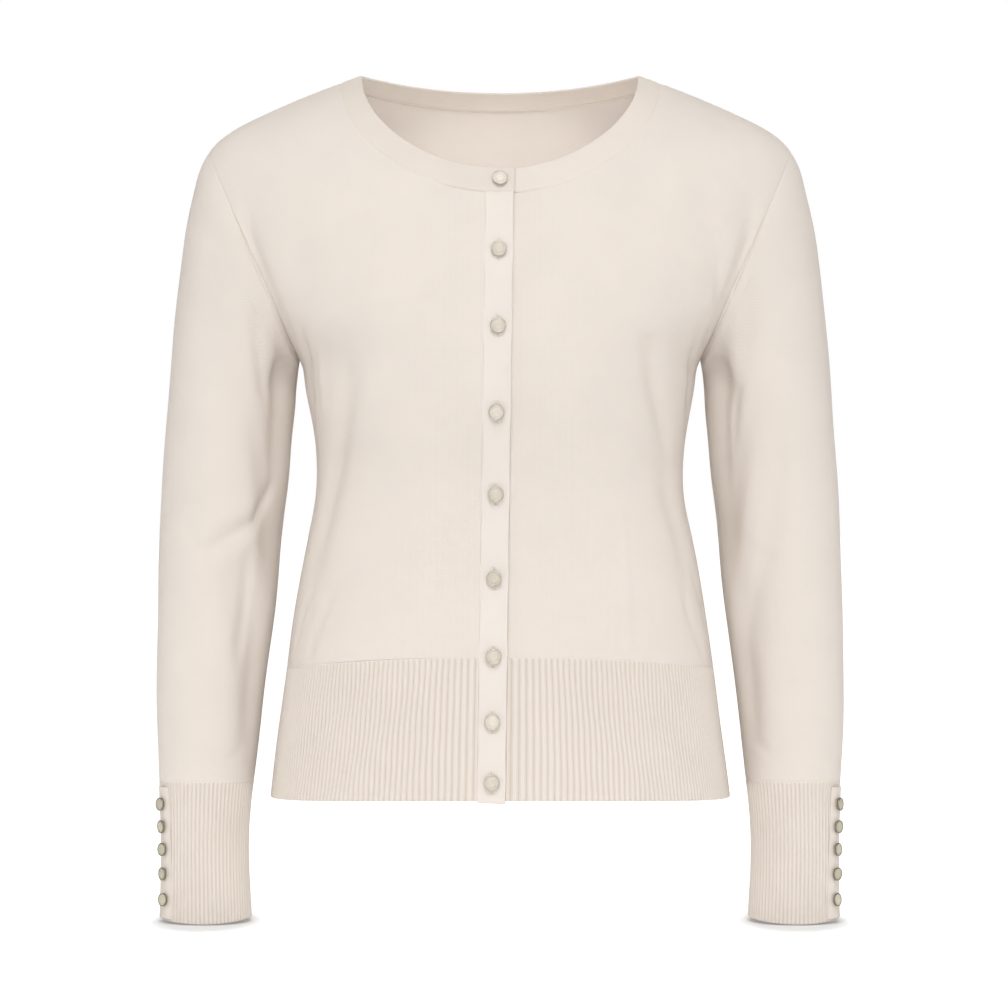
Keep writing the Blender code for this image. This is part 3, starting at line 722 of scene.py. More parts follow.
@dataclass(frozen=True)
class SewingThread:
    """Mercerised cotton sewing thread, twisted: a little smoother and shinier than the yarn round it."""

    name: str = "cotton_thread"
    colour: str = "DDD3C8"
    twist: float = 0.5 * MM

    def make(self) -> bpy.types.Material:
        """Builds the thread's material, ribbed by its twist."""
        material, tree, shader = new_material(self.name)
        space = add_node(tree, "ShaderNodeTexCoord").outputs["Object"]
        ply = add_node(
            tree, "ShaderNodeTexWave",
            {"Vector": space, "Scale": 1 / self.twist / 6, "Distortion": 1.5}, bands_direction="DIAGONAL",
        ).outputs[1]
        bump = add_node(
            tree, "ShaderNodeBump", {"Height": ply, "Distance": 0.1 * MM, "Strength": 0.6}
        ).outputs[0]
        tree.links.new(bump, shader.inputs["Normal"])
        shader.inputs["Base Color"].default_value = to_linear(self.colour)
        shader.inputs["Roughness"].default_value = 0.65
        shader.inputs["Sheen Weight"].default_value = 0.1
        return material


@dataclass(frozen=True)
class PearlResin:
    """Cast polyester resin with pearl flake: milky beige with a soft gloss and cloudy swirls of tone."""

    name: str
    milk: str = "D9D0C3"
    cloud: str = "CBC1B2"
    swirl: float = 3.0 * MM

    def make(self) -> bpy.types.Material:
        """Builds the resin's material."""
        material, tree, shader = new_material(self.name)
        space = add_node(tree, "ShaderNodeTexCoord").outputs["Object"]
        swirl = add_node(
            tree, "ShaderNodeTexNoise",
            {"Vector": space, "Scale": 1 / self.swirl, "Detail": 4.0, "Distortion": 1.8},
        ).outputs[0]
        blend = add_node(tree, "ShaderNodeMapRange", {0: swirl, 1: 0.3, 2: 0.7}).outputs[0]
        colour = add_node(
            tree, "ShaderNodeMix",
            {0: blend, 6: to_linear(self.cloud), 7: to_linear(self.milk)}, data_type="RGBA",
        ).outputs[2]
        tree.links.new(colour, shader.inputs["Base Color"])
        shader.inputs["Roughness"].default_value = 0.42
        shader.inputs["IOR"].default_value = 1.5
        shader.inputs["Coat Weight"].default_value = 0.15
        shader.inputs["Coat Roughness"].default_value = 0.3
        return material


@dataclass(frozen=True)
class SatinNickel:
    """Nickel-plated zinc, tumbled to a satin: a soft grey-beige ring that takes broad bright highlights."""

    name: str
    metal: str
    grain: float = 0.25 * MM

    def make(self) -> bpy.types.Material:
        """Builds the plated metal's material, with the fine marks of tumbling in its roughness."""
        material, tree, shader = new_material(self.name)
        space = add_node(tree, "ShaderNodeTexCoord").outputs["Object"]
        marks = add_node(
            tree, "ShaderNodeTexNoise", {"Vector": space, "Scale": 1 / self.grain, "Detail": 3.0}
        ).outputs[0]
        rough = add_node(tree, "ShaderNodeMapRange", {0: marks, 1: 0.3, 2: 0.7, 3: 0.34, 4: 0.50}).outputs[0]
        tree.links.new(rough, shader.inputs["Roughness"])
        shader.inputs["Base Color"].default_value = to_linear(self.metal)
        shader.inputs["Metallic"].default_value = 1.0
        return material


@dataclass(frozen=True)
class StudioPaper:
    """Matt white seamless paper that glows: painted light, brighter behind the garment, with a painted contact
    shadow round each cuff's foot.
    """

    name: str = "studio_paper"
    white: str = "D5D5D5"
    lit: str = "FFFFFF"
    near_glow: float = 0.58
    far_glow: float = 0.85
    glow_span: tuple[float, float] = (-0.05, 0.06)    # y from the near to the far glow: painted light, brighter behind the garment, where its cast shadow would fall
    shade: float = 0.66             # share of the glow taken off the paper round each cuff's foot: a painted contact shadow
    shade_centre: tuple[float, float] = (0.2285, -0.010)
    shade_reach: tuple[float, float] = (0.036, 0.060)
    shade_core: float = 0.85        # where the shade starts to fade, in reaches
    shade_fade: float = 1.45        # outer edge of the shade, in reaches

    def make(self) -> bpy.types.Material:
        """Builds the paper's material."""
        material, tree, shader = new_material(self.name)
        space = add_node(tree, "ShaderNodeTexCoord").outputs["Object"]
        pulp = add_node(tree, "ShaderNodeTexNoise", {"Vector": space, "Scale": 900.0}).outputs[0]
        bump = add_node(
            tree, "ShaderNodeBump", {"Height": pulp, "Distance": 0.02 * MM, "Strength": 0.2}
        ).outputs[0]
        tree.links.new(bump, shader.inputs["Normal"])
        shader.inputs["Base Color"].default_value = to_linear(self.white)
        shader.inputs["Roughness"].default_value = 0.95
        shader.inputs["Specular IOR Level"].default_value = 0.1
        shader.inputs["Emission Color"].default_value = to_linear(self.lit)
        depth = add_node(tree, "ShaderNodeSeparateXYZ", {0: space}).outputs[1]
        first, last = self.glow_span
        # painted light: the glow grows from in front of the garment to behind it, where it covers the garment's
        # cast shadow
        glow = add_node(
            tree, "ShaderNodeMapRange", {0: depth, 1: first, 2: last, 3: self.near_glow, 4: self.far_glow},
            interpolation_type="SMOOTHSTEP",
        ).outputs[0]
        mirrored = add_node(tree, "ShaderNodeVectorMath", {0: space}, operation="ABSOLUTE").outputs[0]
        sides = add_node(tree, "ShaderNodeSeparateXYZ", {0: mirrored}).outputs[0]
        steps = []
        for place, middle, reach in zip((sides, depth), self.shade_centre, self.shade_reach):
            steps.append(add_node(
                tree, "ShaderNodeMath", {0: place, 1: 1 / reach, 2: -middle / reach}, operation="MULTIPLY_ADD"
            ).outputs[0])
        offset = add_node(tree, "ShaderNodeCombineXYZ", {0: steps[0], 1: steps[1]}).outputs[0]
        distance = add_node(tree, "ShaderNodeVectorMath", {0: offset}, operation="LENGTH").outputs["Value"]
        # painted contact shadow: the glow dims in an oval round each cuff's foot
        glow_left_by_painted_shadow = add_node(
            tree, "ShaderNodeMapRange",
            {0: distance, 1: self.shade_core, 2: self.shade_fade, 3: 1 - self.shade, 4: 1.0},
            interpolation_type="SMOOTHSTEP",
        ).outputs[0]
        glow = add_node(tree, "ShaderNodeMath", {0: glow, 1: glow_left_by_painted_shadow}, operation="MULTIPLY").outputs[0]
        tree.links.new(glow, shader.inputs["Emission Strength"])
        return material


class Wardrobe:
    """Every finish of the cardigan, made once."""

    def __init__(self) -> None:
        """Makes the materials."""
        self.plain = Knit("plain_knit").make()
        self.rib = Knit("rib_knit", wale=HEM_RIB / 2, strength=0.4, rib=HEM_RIB).make()
        self.cuff = Knit("cuff_rib_knit", wale=CUFF_RIB / 2, strength=0.4, rib=CUFF_RIB).make()
        self.placket = Knit("placket_knit", yarn="DED6CF", hollow="D5CCC3", wale=1.5 * MM, strength=0.35).make()
        self.cuff_placket = Knit(
            "cuff_placket_knit", yarn="D9D0C7", hollow="CFC5BB", wale=1.5 * MM, strength=0.35
        ).make()
        self.band = Knit("neckband_knit", yarn="DBD2C9", hollow="D3C9BF", wale=1.5 * MM, strength=0.35).make()
        self.thread = SewingThread().make()
        self.rim = SatinNickel("satin_nickel_rim", metal="C6BFB2").make()
        # painted shade: the cuff buttons take darker copies of the front buttons' rim and cap finishes
        self.cuff_rim = SatinNickel("aged_nickel_rim", metal="8E8776").make()
        self.caps = [
            PearlResin("pearl_resin_milk", "D6CDC2", "CAC0B2").make(),
            PearlResin("pearl_resin_sand", "CDC4B8", "BFB5A6").make(),
            PearlResin("pearl_resin_stone", "C7BEB0", "B8AE9E").make(),
        ]
        self.cuff_caps = [
            PearlResin("pearl_resin_moss", "C8C1AF", "B2AB98").make(),
            PearlResin("pearl_resin_olive", "BFB8A5", "A8A18D").make(),
            PearlResin("pearl_resin_khaki", "CCC4B3", "B7AF9D").make(),
        ]


# ---------------------------------------------------------------- sheets of cloth
@dataclass
class Sheet:
    """A sheet of cloth over a grid of surface points.

    Attributes:
        name: The solid that it stands for.
        points: Surface points, rows by columns.
        normals: Outward normals at the points.
        knit: Wale and course positions in metres; a closed sheet has one more column of them.
        wall: Thickness.
        height: Relief off the surface.
        closed: Whether the last column joins the first.
        edges: Finish of the bottom row, top row, first column and last column.
    """

    name: str
    points: np.ndarray
    normals: np.ndarray
    knit: np.ndarray
    wall: float
    height: np.ndarray
    closed: bool = False
    edges: tuple[Edge, Edge, Edge, Edge] = (Edge.PLAIN,) * 4
    seam_dip: float = 0.25 * MM
    seam_reach: float = 0.9 * MM

    def edge_shapes(self) -> tuple[np.ndarray, np.ndarray]:
        """Works out how far the edges pull the outer face in and the inner face out."""
        up, over = along(self.points, 0), along(self.points, 1)
        away = (up, up[-1:] - up, over, over[:, -1:] - over)
        outer, inner = np.zeros(self.points.shape[:2]), np.zeros(self.points.shape[:2])
        radius = self.wall / 2
        for finish, distance in zip(self.edges, away):
            if finish is Edge.SEAM:
                outer += self.seam_dip * np.exp(-((distance / self.seam_reach) ** 2))
            if finish is Edge.FREE:
                short = np.clip(1 - distance / radius, 0, 1)
                roll = 0.92 * radius * (1 - np.sqrt(1 - short**2))
                outer, inner = outer + roll, inner + roll
        return np.minimum(outer, self.wall * 0.8), inner

    def build(self, material: bpy.types.Material, slot: Slot) -> bpy.types.Object:
        """Makes the sheet's object, which stands for the solid of the same name.

        Args:
            material: The knit.
            slot: The record's slot for it.

        Returns:
            The new object.
        """
        drop, lift = self.edge_shapes()
        outer = self.points + (self.height - drop)[..., None] * self.normals
        inner = self.points + (self.height - self.wall + lift)[..., None] * self.normals
        rows, columns = self.points.shape[:2]
        index = np.arange(rows * columns).reshape(rows, columns)
        c = np.arange(columns if self.closed else columns - 1)
        d = (c + 1) % columns
        corner = [index[:-1][:, c], index[:-1][:, d], index[1:][:, d], index[1:][:, c]]
        quads = np.stack(corner, axis=-1).reshape(-1, 4)
        maps = [self.knit[:-1][:, c], self.knit[:-1][:, c + 1], self.knit[1:][:, c + 1], self.knit[1:][:, c]]
        uv = np.stack(maps, axis=2).reshape(-1, 4, 2)
        under = rows * columns
        border = [np.stack([index[0, d], index[0, c]], -1), np.stack([index[-1, c], index[-1, d]], -1)]
        if not self.closed:
            border.append(np.stack([index[:-1, 0], index[1:, 0]], -1))
            border.append(np.stack([index[1:, -1], index[:-1, -1]], -1))
        border = np.concatenate(border)
        sides = np.stack([border[:, 0], border[:, 1], border[:, 1] + under, border[:, 0] + under], -1)
        flat_knit = self.knit[:, :columns].reshape(-1, 2)
        side_uv = flat_knit[np.stack([border[:, 0], border[:, 1], border[:, 1], border[:, 0]], -1)]
        faces = np.concatenate([quads, quads[:, ::-1] + under, sides])
        uvs = np.concatenate([uv, uv[:, ::-1], side_uv])
        vertices = np.concatenate([outer.reshape(-1, 3), inner.reshape(-1, 3)])
        middle = len(quads) // 2
        first = vertices[quads[middle]]
        facing = np.cross(first[1] - first[0], first[2] - first[0])
        if np.dot(facing, self.normals.reshape(-1, 3)[quads[middle, 0]]) < 0:
            faces, uvs = faces[:, ::-1], uvs[:, ::-1]
        mesh = bpy.data.meshes.new(f"{self.name}_cloth")
        mesh.from_pydata(vertices.tolist(), [], faces.tolist())
        layer = mesh.uv_layers.new(name="knit")
        layer.data.foreach_set("uv", uvs.reshape(-1).astype(np.float32))
        mesh.shade_smooth()
        mesh.materials.append(material)
        piece = bpy.data.objects.new(f"{self.name}_cloth", mesh)
        bpy.context.collection.objects.link(piece)
        place_piece(piece, slot, self.name)
        return piece


def place_piece(piece: bpy.types.Object, slot: Slot, *nodes: str) -> None:
    """Fastens a piece to the garment and hides the solids that it stands for.

    Args:
        piece: The piece.
        slot: Not used.
        nodes: The solids that it replaces.
    """
    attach(piece, BODY)
    if nodes:
        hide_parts(*nodes)
    LOG.info("%s: %d faces", piece.name, len(piece.data.polygons))


def unevenness(points: np.ndarray, size: float) -> np.ndarray:
    """A slow drift of the surface, so that no part of the cloth is perfectly even.

    Args:
        points: Surface points.
        size: Height of the drift.

    Returns:
        Heights at the points.
    """
    x, y, z = points[..., 0], points[..., 1], points[..., 2]
    wave = np.sin(41 * x + 23 * z + 1.3) + np.sin(67 * z - 31 * x + 17 * y) + np.sin(53 * y + 37 * z + 0.7)
    return size * wave / 3


@dataclass
class TorsoCloth:
    """The back, both fronts and their hem ribs."""

    torso: Torso
    tube: SleeveTube
    finish: Wardrobe
    cell: float = 3.2 * MM
    rib_cell: float = 5 * MM
    half_width: float = 0.24
    lower_height: float = 0.24
    upper_height: float = 0.44         # twice the length of the grid's upper part, of which one end is kept
    plain_wall: float = 1.5 * MM
    rib_wall: float = 1.8 * MM
    rib_pitch: float = HEM_RIB
    rib_height: float = 0.85 * MM
    rib_cells: int = 8
    rib_fade: float = 3.5 * MM
    drift: float = 0.5 * MM
    crease_clearance: float = 9 * MM
    valley_reach: float = 11 * MM
    # Creases in metres: length along the level section from the centre (+ to the wearer's left), and z.
    creases: dict[Face, tuple[Crease, ...]] = field(default_factory=lambda: {
        Face.FRONT: (
            Crease(((0.196, -0.100), (0.200, -0.135), (0.192, -0.175), (0.182, -0.212)), 0.009, 0.0036),
            Crease(((-0.198, -0.096), (-0.201, -0.130), (-0.192, -0.175), (-0.182, -0.210)), 0.009, 0.0032),
            Crease(((0.160, -0.122), (0.172, -0.150), (0.178, -0.180)), 0.005, 0.0018),
            Crease(((0.150, -0.080), (0.158, -0.120), (0.168, -0.165)), 0.011, 0.0020),
            Crease(((-0.150, -0.072), (-0.156, -0.120), (-0.160, -0.172)), 0.012, 0.0022),
            Crease(((0.094, -0.335), (0.097, -0.380), (0.099, -0.415), (0.098, -0.452)), 0.003, -0.0010),
            Crease(((-0.120, -0.228), (-0.131, -0.276), (-0.146, -0.330), (-0.158, -0.385)), 0.012, 0.0050),
            Crease(((0.116, -0.206), (0.127, -0.248), (0.144, -0.292)), 0.009, 0.0044),
            Crease(((0.136, -0.310), (0.150, -0.350), (0.160, -0.392)), 0.011, 0.0028),
            Crease(((0.150, -0.398), (0.160, -0.425), (0.176, -0.448)), 0.004, 0.0016),
            Crease(((0.168, -0.385), (0.178, -0.405), (0.190, -0.430)), 0.004, 0.0013),
            Crease(((-0.132, -0.400), (-0.146, -0.425), (-0.158, -0.452)), 0.004, 0.0015),
            Crease(((-0.150, -0.392), (-0.166, -0.412), (-0.180, -0.446)), 0.0035, 0.0012),
            Crease(((0.120, -0.236), (0.150, -0.250), (0.178, -0.256)), 0.007, 0.0018),
            Crease(((-0.166, -0.200), (-0.176, -0.235), (-0.181, -0.270)), 0.006, 0.0026),
            Crease(((-0.150, -0.212), (-0.155, -0.236), (-0.154, -0.266)), 0.0045, -0.0011),
            Crease(((0.168, -0.204), (0.178, -0.238), (0.182, -0.276)), 0.006, 0.0024),
            Crease(((-0.124, -0.232), (-0.152, -0.248), (-0.178, -0.252)), 0.007, 0.0018),
            Crease(((-0.105, -0.300), (-0.140, -0.306), (-0.168, -0.300)), 0.009, 0.0014),
            Crease(((0.110, -0.296), (0.142, -0.304), (0.170, -0.302)), 0.009, 0.0014),
        ),
        Face.BACK: (
            Crease(((0.170, -0.090), (0.176, -0.130), (0.168, -0.180)), 0.011, 0.0032),
            Crease(((-0.168, -0.086), (-0.176, -0.128), (-0.166, -0.184)), 0.011, 0.0030),
            Crease(((0.020, -0.292), (0.070, -0.300), (0.130, -0.290)), 0.008, 0.0022),
            Crease(((-0.120, -0.302), (-0.060, -0.310), (0.005, -0.304)), 0.008, 0.0024),
            Crease(((-0.130, -0.330), (-0.080, -0.340), (-0.030, -0.334)), 0.006, 0.0015),
            Crease(((0.040, -0.328), (0.090, -0.336), (0.140, -0.326)), 0.006, 0.0014),
            Crease(((0.120, -0.400), (0.140, -0.424), (0.150, -0.452)), 0.004, 0.0013),
            Crease(((-0.110, -0.396), (-0.132, -0.424), (-0.144, -0.450)), 0.004, 0.0014),
            Crease(((0.110, -0.230), (0.140, -0.246), (0.172, -0.254)), 0.007, 0.0020),
            Crease(((-0.112, -0.228), (-0.144, -0.246), (-0.170, -0.252)), 0.007, 0.0019),
        ),
    })

    def inner_edge(self, face: Face, side: Side) -> Callable[[np.ndarray], np.ndarray]:
        """Distance of a panel's inner edge from the middle, as a function of height."""
        half = self.torso.placket_width / 2
        if face is Face.BACK:
            return lambda z: 0 * np.asarray(z, float) + 1e-6
        return lambda z: half + side.value * self.torso.placket_middle(z)

    def crease_height(self, angle: np.ndarray, z: np.ndarray, face: Face, side: Side) -> np.ndarray:
        """Relief of the creases at angles and heights of one half."""
        u = side.value * self.torso.girth(angle, z, face)
        return sum(crease.height(u, z) for crease in self.creases[face])

    def panel_places(self, face: Face, side: Side) -> tuple[np.ndarray, np.ndarray, np.ndarray]:
        """Lays the grid of one half of a panel, from the rib seam up.

        Args:
            face: Front or back.
            side: The wearer's side.

        Returns:
            Angles, heights and turns up the armhole.
        """
        torso, edge_x = self.torso, self.inner_edge(face, side)
        rise = torso.rib_rise if face is Face.FRONT else 0.0
        across = graded(self.half_width, self.cell)[None, :]
        up = graded(self.lower_height, self.cell)
        up = up[up <= 0.5] * 2
        up = up[:, None] / up[-1]
        inner_z = (torso.rib_z + rise) + up * (torso.underarm[1] - torso.rib_z - rise)
        outer_z = torso.rib_z + up * (torso.underarm[1] - torso.rib_z)
        angle = torso.angle(edge_x(inner_z), inner_z) * (1 - across)
        z = outer_z + (inner_z - outer_z) * np.cos(across * math.pi / 2) ** 2
        lower = np.stack([angle, z], axis=-1)

        first_x = float(edge_x(torso.placket_top_z))
        neck = torso.neckline(torso.neck_seam, face, first_x, np.clip(across[0] / torso.neck_share, 0, 1))
        along_shoulder = np.clip((across[0] - torso.neck_share) / (1 - torso.neck_share), 0, 1)
        neck[:, 1] += along_shoulder * (torso.shoulder[1] - neck[-1, 1])
        top, bottom = neck[None], lower[-1:]
        up = graded(self.upper_height, self.cell)
        up = 2 * up[up >= 0.5] - 1
        up = ((up - up[0]) / (1 - up[0]))[:, None]
        inner_z = torso.underarm[1] + up * (neck[0, 1] - torso.underarm[1])
        inner = np.stack([torso.angle(edge_x(inner_z), inner_z), inner_z], axis=-1)
        outer = np.stack(torso.armhole(math.pi * up), axis=-1)
        up, across = up[..., None], across[..., None]
        corners = (
            (1 - across) * ((1 - up) * bottom[:, :1] + up * top[:, :1])
            + across * ((1 - up) * bottom[:, -1:] + up * top[:, -1:])
        )
        upper = (1 - up) * bottom + up * top + (1 - across) * inner + across * outer - corners
        whole = np.concatenate([lower, upper[1:]])
        turn = math.pi * np.concatenate([np.zeros(len(lower)), up[1:, 0, 0]])[:, None]
        return whole[..., 0], whole[..., 1], turn

    def rib_places(self, face: Face, side: Side, columns: int) -> tuple[np.ndarray, np.ndarray, None]:
        """Lays the grid of one half of a hem rib, from the hem up.

        Args:
            face: Front or back.
            side: The wearer's side.
            columns: Columns from the middle to the side seam.

        Returns:
            Angles, heights and no turns, as a rib has no armhole.
        """
        torso, edge_x = self.torso, self.inner_edge(face, side)
        hem_rise, rib_rise = (torso.hem_rise, torso.rib_rise) if face is Face.FRONT else (0.0, 0.0)
        up = graded(torso.rib_z - torso.hem_z, self.rib_cell)[:, None]
        edge_z = torso.hem_z + hem_rise + up * (torso.rib_z + rib_rise - torso.hem_z - hem_rise)
        angle = torso.angle(edge_x(edge_z), edge_z) * (1 - np.linspace(0, 1, columns)[None, :])
        swell = np.sin(angle) ** 2
        low, high = torso.hem_z + hem_rise * swell, torso.rib_z + rib_rise * swell
        return angle, low + up * (high - low), None

    def whole(self, face: Face, name: str, finder: Callable, relief: Callable) -> tuple:
        """Joins the back's two halves, or gives one front.

        Args:
            face: Front or back.
            name: The solid's name, which holds the side of a front.
            finder: Lays the grid of one half.
            relief: Gives the height and the knit map of one half.

        Returns:
            Points, normals, knit map and height.
        """
        front_side = Side.RIGHT if "right" in name else Side.LEFT
        sides = (Side.LEFT, Side.RIGHT) if face is Face.BACK else (front_side,)
        found = []
        for side in sides:
            angle, z, turn = finder(face, side)
            points = self.torso.point(angle, z, face, side.value)
            normals = self.torso.normal(points, face)
            height, knit = relief(face, side, angle, z, points, turn)
            if turn is not None:
                near = self.armhole_nearness(points, z, self.tube.mitre_reach)
                normals = unit(normals * (1 - near) + near * self.tube.mitre(turn, face, side))
            if face is Face.BACK:
                points[:, 0, 0] = 0
            found.append([points, normals, knit, height])
        if len(found) == 1:
            return tuple(found[0])
        left, right = found
        return tuple(np.concatenate([b[:, :0:-1], a], axis=1) for a, b in zip(left, right))

    def armhole_nearness(self, points: np.ndarray, z: np.ndarray, reach: float) -> np.ndarray:
        """How near a panel's points are to its armhole, from 1 on it to 0 well away."""
        over = along(points, 1)
        below = np.maximum(self.torso.underarm[1] - z[:, -1:], 0)
        return np.exp(-(((over[:, -1:] - over) ** 2 + below**2) / reach**2))[..., None]

    def panel_relief(
        self, face: Face, side: Side, angle: np.ndarray, z: np.ndarray, points: np.ndarray, turn: np.ndarray
    ) -> tuple:
        """Works out the relief of one half of a plain panel.

        Args:
            face: Front or back.
            side: The wearer's side.
            angle: Angles of the grid.
            z: Its heights.
            points: Its points.
            turn: Its turns up the armhole.

        Returns:
            Height and knit map.
        """
        torso = self.torso
        over, up = along(points, 1), along(points, 0)
        clear = 1 - np.exp(-(((over[:, -1:] - over) / self.crease_clearance) ** 2))
        clear *= 1 - np.exp(-(((up[-1:] - up) / self.crease_clearance) ** 2))
        height = self.crease_height(angle, z, face, side) * clear + unevenness(points, self.drift)
        height -= self.tube.valley(turn, face) * self.armhole_nearness(points, z, self.valley_reach)[..., 0]
        if face is Face.FRONT and side is Side.RIGHT:
            height = height + torso.lap(points[..., 0], z)
        wales, courses = side.value * torso.girth(angle, z, face), torso.rise(points[..., 0], z, face)
        return height, np.stack([wales, courses], axis=-1)

    def rib_relief(
        self, face: Face, side: Side, angle: np.ndarray, z: np.ndarray, points: np.ndarray, turn: None
    ) -> tuple:
        """Works out the relief of one half of a hem rib, whose ribs run down its columns.

        Args:
            face: Front or back.
            side: The wearer's side.
            angle: Angles of the grid.
            z: Its heights.
            points: Its points.
            turn: None, as a rib has no armhole.

        Returns:
            Height and knit map.
        """
        torso = self.torso
        columns = angle.shape[1]
        ribs = (columns - 1) / self.rib_cells
        index = np.linspace(0, ribs, columns)[None, :]
        sway = 0.16 * np.sin(55 * z + 9 * index / ribs) + 0.10 * np.sin(120 * z + 31 * index / ribs + 2)
        phase = index + sway * np.sin(np.pi * index / ribs)
        ridge = np.abs(np.cos(np.pi * phase)) ** 0.8
        length = along(points, 0)
        fade = smoothstep((length[-1:] - length) / self.rib_fade)
        height = self.rib_height * (ridge - 1) * fade + unevenness(points, self.drift)
        over = along(points, 1)
        clear = 1 - np.exp(-(((over[:, -1:] - over) / self.crease_clearance) ** 2))
        height += self.crease_height(angle, z, face, side) * (1 - fade) * clear
        if face is Face.FRONT and side is Side.RIGHT:
            height = height + torso.lap(points[..., 0], z)
        knit = np.stack([(side.value * phase + 0.25) * self.rib_pitch, length + 0 * phase], axis=-1)
        return height, knit

    def make(self) -> None:
        """Builds the six sheets; the ribs take their widths from the flat sizes."""
        flats = {
            "back_panel": ((0.475, 0.460), 0.188), "left_front_panel": ((0.235, 0.460), 0.081),
            "right_front_panel": ((0.235, 0.460), 0.082), "back_rib": ((0.448, 0.104), None),
            "left_front_rib": ((0.219, 0.104), None), "right_front_rib": ((0.209, 0.104), None),
        }
        seam, free = Edge.SEAM, Edge.FREE
        for name, (flat, area) in flats.items():
            face = Face.BACK if "back" in name else Face.FRONT
            if "panel" in name:
                parts = self.whole(face, name, self.panel_places, self.panel_relief)
                inner = Edge.PLAIN if "right" in name else seam
                sheet = Sheet(name, *parts[:3], self.plain_wall, parts[3], edges=(seam, seam, inner, seam))
                piece = sheet.build(self.finish.plain, Slot.PLAIN)
            else:
                half = flat[0] / (2 if face is Face.BACK else 1)
                columns = round(half / self.rib_pitch) * self.rib_cells + 1
                parts = self.whole(
                    face, name, lambda f, s, n=columns: self.rib_places(f, s, n), self.rib_relief
                )
                inner = Edge.PLAIN if "right" in name else seam
                sheet = Sheet(name, *parts[:3], self.rib_wall, parts[3], edges=(free, seam, inner, seam))
                piece = sheet.build(self.finish.rib, Slot.RIB)


@dataclass
class FrontBands:
    """The neckband and the two plackets."""

    torso: Torso
    finish: Wardrobe
    wall: float = 1.8 * MM
    tab_overhang: float = 1.0 * MM
    placket_drop: float = 1.2 * MM
    puff: float = 0.35 * MM

    def neckband(self) -> bpy.types.Object:
        """Builds the neckband, one strip from its under end round to its lap."""
        torso = self.torso
        half = torso.placket_width / 2
        under_x = np.linspace(-half, half, 12)
        over_x = np.linspace(-half, half + self.tab_overhang, 14)
        reach = 1 - graded(0.20, 2.4 * MM)
        quarter = np.sort(reach)
        rings, shares = [], graded(0.017, 1.6 * MM)
        for share in shares:
            line = torso.neck_seam.toward(torso.neck_edge, share)
            points, normals = torso.front_point(under_x, torso.neck_z(line, Face.FRONT, under_x))
            parts = [(points, normals, 0 * under_x)]
            for face, side, first_x in (
                (Face.FRONT, Side.LEFT, half), (Face.BACK, Side.LEFT, 1e-6),
                (Face.BACK, Side.RIGHT, 1e-6), (Face.FRONT, Side.RIGHT, half),
            ):
                place = torso.neckline(line, face, first_x, quarter)
                points = torso.point(place[:, 0], place[:, 1], face, side.value)
                normals = torso.normal(points, face)
                height = 0 * place[:, 1]
                if (face, side) == (Face.FRONT, Side.RIGHT):
                    height = torso.lap(points[:, 0], place[:, 1])
                part = (points, normals, height)
                if (face, side) in ((Face.BACK, Side.LEFT), (Face.FRONT, Side.RIGHT)):
                    part = tuple(values[::-1] for values in part)
                parts.append(tuple(values[1:] for values in part))
            points, normals = torso.front_point(over_x, torso.neck_z(line, Face.FRONT, over_x))
            parts.append((points[1:], normals[1:], np.full(len(over_x) - 1, torso.lap_height)))
            rings.append([np.concatenate([part[k] for part in parts]) for k in range(3)])
        points, normals, height = (np.array([ring[k] for ring in rings]) for k in range(3))
        crown = self.puff * (1 - (2 * shares[:, None] - 1) ** 4)
        knit = np.stack([along(points, 1), along(points, 0)], axis=-1)
        sheet = Sheet(
            "neckband", points, normals, knit, self.wall, height + crown,
            edges=(Edge.SEAM, Edge.FREE, Edge.FREE, Edge.FREE),
        )
        piece = sheet.build(self.finish.band, Slot.RIB)
        return piece

    def placket(self, name: str, height: float, low_z: float, buttons: Sequence[float]) -> bpy.types.Object:
        """Builds one placket strip.

        Args:
            name: The solid that it stands for.
            height: How far it stands off the torso.
            low_z: Height of its lower end.
            buttons: Heights of the buttons, where the strip is held flat.

        Returns:
            The strip's object.
        """
        torso = self.torso
        share_x = graded(torso.placket_width, 1.5 * MM)[None, :]
        across = torso.placket_width * (share_x - 0.5)
        up = graded(0.455, 2.5 * MM)[:, None]
        z = low_z + up * (torso.neck_z(torso.neck_seam, Face.FRONT, across) - low_z)
        held = sum(np.exp(-(((z - button) / 0.011) ** 2)) for button in buttons)
        wander = 0.35 * MM * (held - 0.4) * (share_x * 2 - 1)
        slope = -1.0 * MM * (1 - up) ** 40 * share_x
        points, normals = torso.front_point(torso.placket_middle(z) + across + wander, z + slope)
        crown = self.puff * (1 - (2 * share_x - 1) ** 4) * (1 - 0.8 * np.clip(held, 0, 1))
        knit = np.stack([across + 0 * z, along(points, 0)], axis=-1)
        sheet = Sheet(
            name, points, normals, knit, self.wall, height + crown + 0 * z,
            edges=(Edge.FREE, Edge.SEAM, Edge.PLAIN if height else Edge.FREE, Edge.FREE),
        )
        piece = sheet.build(self.finish.placket, Slot.PLACKET)
        return piece

    def make(self, buttons: Sequence[float]) -> None:
        """Builds all three bands.

        Args:
            buttons: Heights of the front buttons.
        """
        self.neckband()
        hem = self.torso.hem_z + self.torso.hem_rise
        self.placket("button_placket", 0.0, hem, buttons)
        self.placket("buttonhole_placket", self.torso.lap_height, hem - self.placket_drop, buttons)


